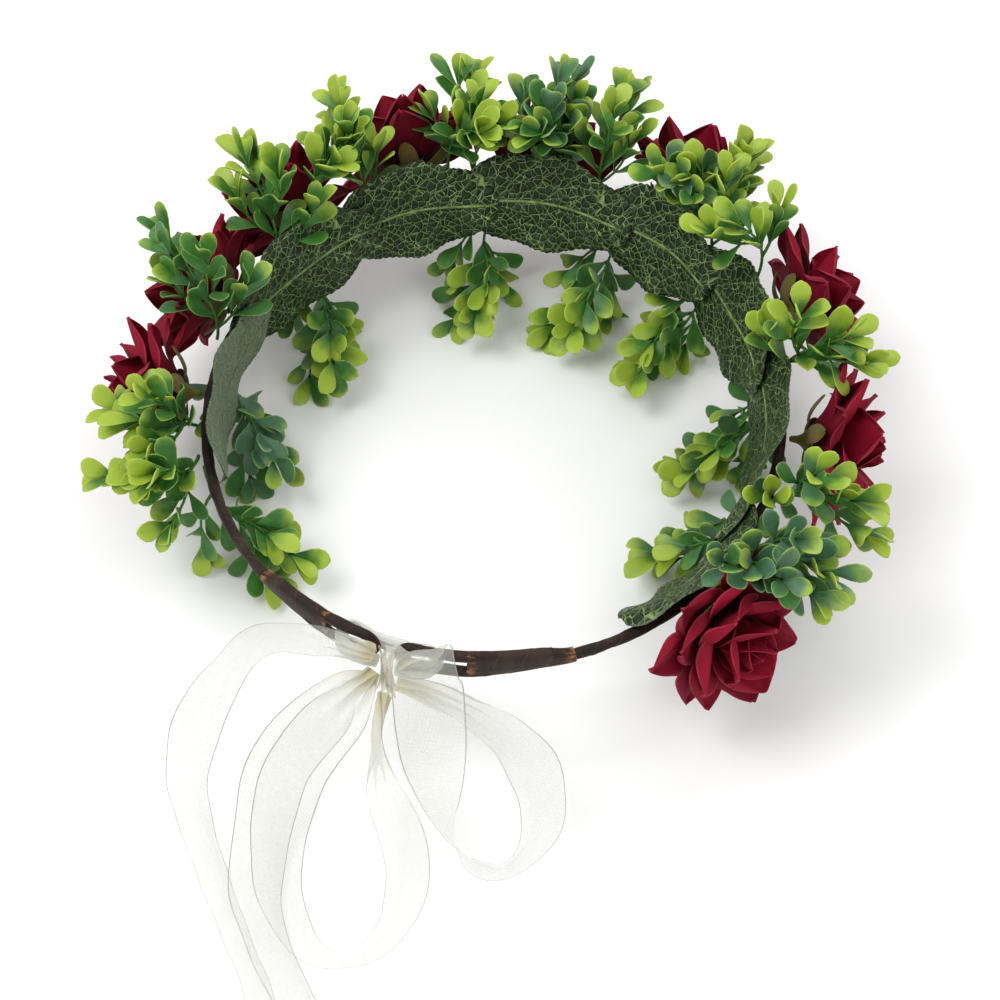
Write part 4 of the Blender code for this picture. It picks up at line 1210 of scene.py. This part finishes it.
class CROWN_OT_sprigs(bpy.types.Operator):
    """Make the boxwood sprigs above, below and between the roses"""

    bl_idname = "crown.sprigs"
    bl_label = "Make sprigs"

    def execute(self, context):
        settings = context.scene.crown_sprig
        finish = boxwood_plastic(settings)
        for number, (lime, cool) in enumerate(UPPER_TONES, 1):
            node = f"upper_sprig_{number}"
            rng = random.Random(200 + number)
            route = sprig_route(node, UPPER_BEND, FRONT_DRAWN_IN if number <= FRONT_SPRIGS else 0.0)
            sprig = build_sprig(node + "_foliage", *route, settings, rng, 4, 4, 0.26, lime, cool)
            finish_piece(sprig, "garland", finish, [node])
        for number, (lime, cool) in enumerate(LOWER_TONES, 1):
            node = f"lower_sprig_{number}"
            rng = random.Random(300 + number)
            route = sprig_route(node, LOWER_BEND)
            sprig = build_sprig(node + "_foliage", *route, settings, rng, 4, 4, 0.40, lime, cool)
            finish_piece(sprig, "garland", finish, [node])
        for number, (angle, out, along, lime, cool) in enumerate(FILLERS, 1):
            rng = random.Random(400 + number)
            route = np.array((FILLER_ROOT, FILLER_BEND, (out, along, FILLER_HEIGHT)))
            route = moved(route, ring_frame(angle))
            name = f"filler_sprig_{number}"
            sprig = build_sprig(name, *route, settings, rng, 3, 2, 0.62, lime, cool, 0.95)
            finish_piece(sprig, "garland", finish)
        return {"FINISHED"}


# ---------------------------------------------------------------- taped wire

# The eyes' tips stand off the bow's middle by EYE_TIP_OFFSET, and that middle is BOW_OFFSET to the right.
EYE_TIP_OFFSET = 0.00427
BOW_OFFSET = 0.00164
EYE_LENGTHS = {"left": 0.033, "right": 0.043}
EYE_HALF_HEIGHT = 0.0042
# How much of an eye's length the tape covers, how far above the first run the returning one lies
# behind the eye, and how far it goes on there.
EYE_FORK_SHARE = 0.53
BESIDE = 0.0039
RUN_ON = 0.0035
# In degrees about the ring: how far inside the garland an arm's wire starts, and the gap between its points.
ARM_START = 6.0
ARM_STEP = 4.0
# The garland's tape ends this many degrees inside the garland's ends.
WRAP_INSET = 4.0
HINGE_REACH = 0.006
# The fold of tape behind an eye: how far it reaches past the throat and how much it stands off the wire.
WEB_REACH = 0.0105
WEB_SPARE = 0.0004
WEB_RAGGED = 0.0012


def arm_path(side, hinge_angle, eye_length):
    """The bare wire from the garland's end to the eye, round the eye and back beside itself."""
    per_metre = degrees_along(1.0, FRONT_ANGLE)
    tip_angle = FRONT_ANGLE + (BOW_OFFSET + side * EYE_TIP_OFFSET) * per_metre
    bend_angle = tip_angle + side * EYE_HALF_HEIGHT * per_metre
    throat_angle = tip_angle + side * eye_length * per_metre
    fork_angle = throat_angle - side * EYE_FORK_SHARE * eye_length * per_metre
    start_angle = hinge_angle + side * ARM_START
    count = max(3, round(abs(throat_angle - start_angle) / ARM_STEP))
    places = [(start_angle + (throat_angle - start_angle) * i / count, 0.0) for i in range(count + 1)]
    places += [((throat_angle + fork_angle) / 2, -EYE_HALF_HEIGHT / 2), (fork_angle, -EYE_HALF_HEIGHT)]
    for step in range(7):
        turn = math.radians(-90.0 + 30.0 * step)
        round_bend = bend_angle - side * EYE_HALF_HEIGHT * math.cos(turn) * per_metre
        places.append((round_bend, EYE_HALF_HEIGHT * math.sin(turn)))
    end_angle = throat_angle + side * RUN_ON * per_metre
    places += [(fork_angle, EYE_HALF_HEIGHT), (throat_angle, BESIDE), (end_angle, BESIDE)]
    return np.array([tuple(ring_frame(angle, up=up).translation) for angle, up in places]), throat_angle


def wrapped_tube(name, path, radius, pitch, seed):
    """A taped wire: a lumpy tube with the low steps that the spiral of tape makes."""
    rng = random.Random(seed)
    curve = smooth_through(path, 6)
    sides = 14
    rings = tube_rings(curve, radius, sides)
    lengths = np.r_[0.0, np.cumsum(np.linalg.norm(np.diff(curve, axis=0), axis=1))]
    around = np.arange(sides) / sides
    phase = rng.uniform(0.0, 6.3)
    for index, (middle, length) in enumerate(zip(curve, lengths)):
        wound = (length / pitch + around) % 1.0
        swell = 1.0 + 0.10 * wound + 0.05 * math.sin(length * 310.0 + phase)
        swell = swell + 0.04 * np.sin(4 * math.pi * around + length * 520.0)
        rings[index] = middle + (rings[index] - middle) * swell[:, None] * 0.97
    heap = Heap()
    points, faces, uvs = skin(rings)
    heap.add(points, faces, uvs)
    return heap.make(name)


def build_web(name, side, throat_angle, eye_length, seed):
    """The flat fold of tape that covers the wire's two runs behind the eye, with torn edges."""
    rng = random.Random(seed)
    per_metre = degrees_along(1.0, FRONT_ANGLE)
    stations, sides = 22, 24
    rings, torn = [], []
    covered = EYE_FORK_SHARE * eye_length
    for step in range(stations):
        share = step / (stations - 1)
        along = WEB_REACH - (WEB_REACH + covered) * share
        opening = max(-along, 0.0) / covered
        low = -TAPE_RADIUS - WEB_SPARE - EYE_HALF_HEIGHT * opening
        beside = BESIDE * ease(0.0, 0.34, share) + (EYE_HALF_HEIGHT - BESIDE) * opening
        high = TAPE_RADIUS + WEB_SPARE + beside
        thick = (TAPE_RADIUS + 0.0005) * (1.0 - 0.25 * opening)
        place = ring_frame(throat_angle + side * along * per_metre)
        ring = []
        for k in range(sides):
            turn = 2 * math.pi * k / sides
            x = math.copysign(abs(math.cos(turn)) ** 0.7, math.cos(turn)) * thick
            rise = math.copysign(abs(math.sin(turn)) ** 0.8, math.sin(turn))
            z = (low + high) / 2 + rise * (high - low) / 2
            wobble = 1.0 + 0.05 * math.sin(3 * turn + 9.0 * share + seed)
            ragged = WEB_RAGGED * rng.random() * (1.0 if step == stations - 1 else 0.0)
            ring.append(tuple(place @ Vector((x * wobble, side * ragged, z))))
        rings.append(ring)
        edge = max(ease(0.88, 1.0, share), 0.8 * (1.0 - ease(0.0, 0.12, share)))
        torn.append(np.full(sides, float(edge)) * (np.array([rng.random() for _ in range(sides)]) > 0.35))
    points, faces, uvs = skin(np.array(rings))
    tint = np.zeros((len(points), 4))
    tint[: stations * sides, 0] = np.array(torn).reshape(-1)
    heap = Heap()
    heap.add(points, faces, uvs, tint)
    return heap.make(name)


class CROWN_OT_wraps(bpy.types.Operator):
    """Make the taped wire of the garland, the two arms and the folds behind their eyes"""

    bl_idname = "crown.wraps"
    bl_label = "Make taped wire"

    def execute(self, context):
        settings = context.scene.crown_wrap
        finish, steel = crepe_tape(settings), drawn_steel(settings)
        first, last = GARLAND_ENDS
        angles = np.linspace(first + WRAP_INSET, last - WRAP_INSET, 50)
        path = [tuple(ring_frame(angle).translation) for angle in angles]
        wrap = wrapped_tube("garland_wrap", path, TAPE_RADIUS, settings.pitch, 1)
        finish_piece(wrap, "garland", finish, ["garland_tape"])
        arms = (("left", -1, last), ("right", 1, first + 360.0))
        for label, side, hinge_angle in arms:
            path, throat_angle = arm_path(side, hinge_angle, EYE_LENGTHS[label])
            wrap = wrapped_tube(label + "_arm_wrap", path, TAPE_RADIUS, settings.pitch, 5)
            finish_piece(wrap, None, finish, [label + "_arm_tape", label + "_arm_wire"])
            reach = degrees_along(HINGE_REACH, hinge_angle)
            start = ring_frame(hinge_angle + side * reach).translation
            end = ring_frame(hinge_angle - side * reach).translation
            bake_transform(wrap)
            web = build_web(label + "_eye_fold", side, throat_angle, EYE_LENGTHS[label], 7 + side)
            finish_piece(web, label + "_arm", finish, [label + "_eye_binding"])
        core = frame["nodes"]["garland_wire"].data
        core.materials.clear()
        core.materials.append(steel)
        return {"FINISHED"}


# ---------------------------------------------------------------- ribbon


PLEATS = 3
RIBBON_COLUMNS = 33
STEPS_BETWEEN_STATIONS = 12
FLUTTER = 0.00035


def ribbon_strip(name, stations, settings, cream, seed):
    """A strip of ribbon through its stations. Where it is drawn in, its width folds into pleats.

    The more it is drawn in the creamier it looks, and cream is how much of that shows.
    """
    rng = random.Random(seed)
    centres = smooth_through([from_front(centre) for centre, _, _ in stations], STEPS_BETWEEN_STATIONS)
    ways = [unit(np.array(way)) * spread for _, way, spread in stations]
    ways = smooth_through(ways, STEPS_BETWEEN_STATIONS)
    tangents = unit(np.gradient(centres, axis=0))
    lengths = np.r_[0.0, np.cumsum(np.linalg.norm(np.diff(centres, axis=0), axis=1))]
    shares = np.linspace(-1.0, 1.0, RIBBON_COLUMNS)
    phase = rng.uniform(0.0, 6.3)
    half = settings.width / 2
    rows, tints = [], []
    for centre, tangent, way, length in zip(centres, tangents, ways, lengths):
        spread = min(float(np.linalg.norm(way)), 1.0)
        across = unit(way - tangent * way.dot(tangent))
        normal = np.cross(tangent, across)
        slack = math.sqrt(max(1.0 - spread**2, 0.0))
        depth = half / (2 * PLEATS) * slack**1.6 * 1.1
        fold = depth * np.sin(shares * math.pi * PLEATS + 0.8 * math.sin(length * 160.0 + phase))
        wave = FLUTTER * math.sin(length * 240.0 + phase) * np.sin(shares * 2.2 + length * 90.0)
        rows.append(centre + np.outer(shares * half * spread, across) + np.outer(fold + wave, normal))
        tints.append(np.full(RIBBON_COLUMNS, cream * (1.0 - spread) ** 1.5))
    points = np.array(rows).reshape(-1, 3)
    index = np.arange(len(points)).reshape(len(rows), RIBBON_COLUMNS)
    faces = np.stack([index[:-1, :-1], index[:-1, 1:], index[1:, 1:], index[1:, :-1]], axis=-1).reshape(-1, 4)
    uvs = np.stack(np.broadcast_arrays((shares + 1) / 2, lengths[:, None]), axis=-1).reshape(-1, 2)
    tint = np.zeros((len(points), 4))
    tint[:, 0] = np.array(tints).reshape(-1)
    heap = Heap()
    heap.add(points, faces, uvs, tint)
    return heap.make(name), float(lengths[-1])


class CROWN_OT_bow(bpy.types.Operator):
    """Make the organza bow: its lacing through the eyes, knot, two loops and two tails"""

    bl_idname = "crown.bow"
    bl_label = "Make bow"

    def execute(self, context):
        settings = context.scene.crown_ribbon
        sheer = organza(settings, "organza_sheer", 0.55)
        drawn_in = organza(settings, "organza_gathered", 0.45)
        eyes, knot = ["left_arm_wrap", "right_arm_wrap"], ["bow_knot"]
        pieces = (
            ("lacing", LACING, sheer, 0.3, "gathered", eyes),
            ("knot", KNOT, drawn_in, 1.0, "gathered", ["bow_lacing"]),
            ("loop_left", LOOP_LEFT, sheer, 1.0, "folded", knot),
            ("loop_right", LOOP_RIGHT, sheer, 1.0, "folded", knot),
            ("tail_outer", TAIL_OUTER, sheer, 1.0, "hung", knot),
            ("tail_inner", TAIL_INNER, sheer, 1.0, "hung", knot),
        )
        for seed, (label, stations, finish, cream, held, rests) in enumerate(pieces):
            strip, length = ribbon_strip("bow_" + label, stations, settings, cream, seed)
            finish_piece(strip, "bow", finish, ["ribbon_" + label])
        return {"FINISHED"}


# ---------------------------------------------------------------- stage


# The lamps: name, place, side and power.
LAMPS = (
    ("key", (-0.55, -0.35, 1.1), 0.7, 6.5),
    ("fill", (0.8, -0.5, 0.9), 0.8, 2.2),
    ("back", (0.1, 0.95, 0.8), 0.8, 3.2),
)
WORLD_LIGHT = 0.62
FLOOR_SIDE = 6.0
# The camera looks past the ring's middle by this much, to its own right and downwards.
AIM_RIGHT, AIM_BELOW = 0.0025, 0.0291
SENSOR_WIDTH = 36.0


def add_lamp(name, place, side, power):
    """A soft square lamp that looks at the ring's middle."""
    light = bpy.data.lights.new(name, "AREA")
    light.shape = "SQUARE"
    light.size = side
    light.energy = power
    lamp = bpy.data.objects.new(name, light)
    lamp.location = place
    lamp.rotation_euler = (-Vector(place)).to_track_quat("-Z", "Y").to_euler()
    bpy.context.scene.collection.objects.link(lamp)


class CROWN_OT_stage(bpy.types.Operator):
    """Make the floor, the soft lights and the camera"""

    bl_idname = "crown.stage"
    bl_label = "Make stage"

    def execute(self, context):
        settings = context.scene.crown_stage
        deselect_all()
        bpy.ops.mesh.primitive_plane_add(size=FLOOR_SIDE, location=(0.0, 0.0, FLOOR_HEIGHT))
        floor = context.object
        floor.name = "floor"
        finish = Finish("pale_floor")
        grain = finish.noise(finish.place(), 30.0)
        colour = finish.mix(grain, shade(settings.floor, 0.99), settings.floor)
        floor.data.materials.append(finish.set(Base_Color=colour, Roughness=0.85))
        self.add_camera(settings)
        self.add_lights()
        return {"FINISHED"}

    def add_camera(self, settings):
        azimuth, elevation = settings.azimuth, settings.elevation
        level = Vector((math.sin(azimuth), -math.cos(azimuth), 0.0))
        back = level * math.cos(elevation) + Vector((0.0, 0.0, math.sin(elevation)))
        right = Vector((math.cos(azimuth), math.sin(azimuth), 0.0))
        place = back * settings.distance
        aim = right * AIM_RIGHT - back.cross(right) * AIM_BELOW
        back = (place - aim).normalized()
        right = (right - back * right.dot(back)).normalized()
        up = back.cross(right)
        c, s = math.cos(settings.roll), math.sin(settings.roll)
        rolled_right = right * c + up * s
        rolled_up = up * c - right * s
        lens = bpy.data.cameras.new("camera")
        lens.lens = settings.lens
        lens.sensor_width = SENSOR_WIDTH
        lens.clip_start = 0.01
        camera = bpy.data.objects.new("camera", lens)
        axes = Matrix((rolled_right, rolled_up, back)).transposed().to_4x4()
        camera.matrix_world = Matrix.Translation(place) @ axes
        bpy.context.scene.collection.objects.link(camera)
        bpy.context.scene.camera = camera

    def add_lights(self):
        world = bpy.data.worlds.new("soft_white")
        world.use_nodes = True
        background = world.node_tree.nodes["Background"]
        background.inputs["Color"].default_value = (1.0, 1.0, 1.0, 1.0)
        background.inputs["Strength"].default_value = WORLD_LIGHT
        bpy.context.scene.world = world
        for lamp in LAMPS:
            add_lamp(*lamp)
        bpy.context.scene.view_settings.view_transform = "Standard"
        bpy.context.scene.view_settings.look = "Medium High Contrast"


# ---------------------------------------------------------------- add-on


class CROWN_PT_panel(bpy.types.Panel):
    """Lists the steps that dress the crown"""

    bl_idname = "CROWN_PT_panel"
    bl_label = "Flower Crown"
    bl_space_type = "VIEW_3D"
    bl_region_type = "UI"
    bl_category = "Flower Crown"

    def draw(self, context):
        for operator in STEPS:
            self.layout.operator(operator.bl_idname)


STEPS = (CROWN_OT_stage, CROWN_OT_wraps, CROWN_OT_leaves, CROWN_OT_roses, CROWN_OT_sprigs, CROWN_OT_bow)
SETTINGS = {
    "crown_rose": RoseSettings,
    "crown_leaf": LeafSettings,
    "crown_sprig": SprigSettings,
    "crown_wrap": WrapSettings,
    "crown_ribbon": RibbonSettings,
    "crown_stage": StageSettings,
}


def register():
    for kind in (*SETTINGS.values(), *STEPS, CROWN_PT_panel):
        bpy.utils.register_class(kind)
    for name, kind in SETTINGS.items():
        setattr(bpy.types.Scene, name, bpy.props.PointerProperty(type=kind))


def unregister():
    for name in SETTINGS:
        delattr(bpy.types.Scene, name)
    for kind in reversed((*SETTINGS.values(), *STEPS, CROWN_PT_panel)):
        bpy.utils.unregister_class(kind)


def main():
    register()
    bpy.ops.crown.stage()
    bpy.ops.crown.wraps()
    bpy.ops.crown.leaves()
    bpy.ops.crown.roses()
    bpy.ops.crown.sprigs()
    bpy.ops.crown.bow()
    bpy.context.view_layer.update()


if __name__ == "__main__":
    main()
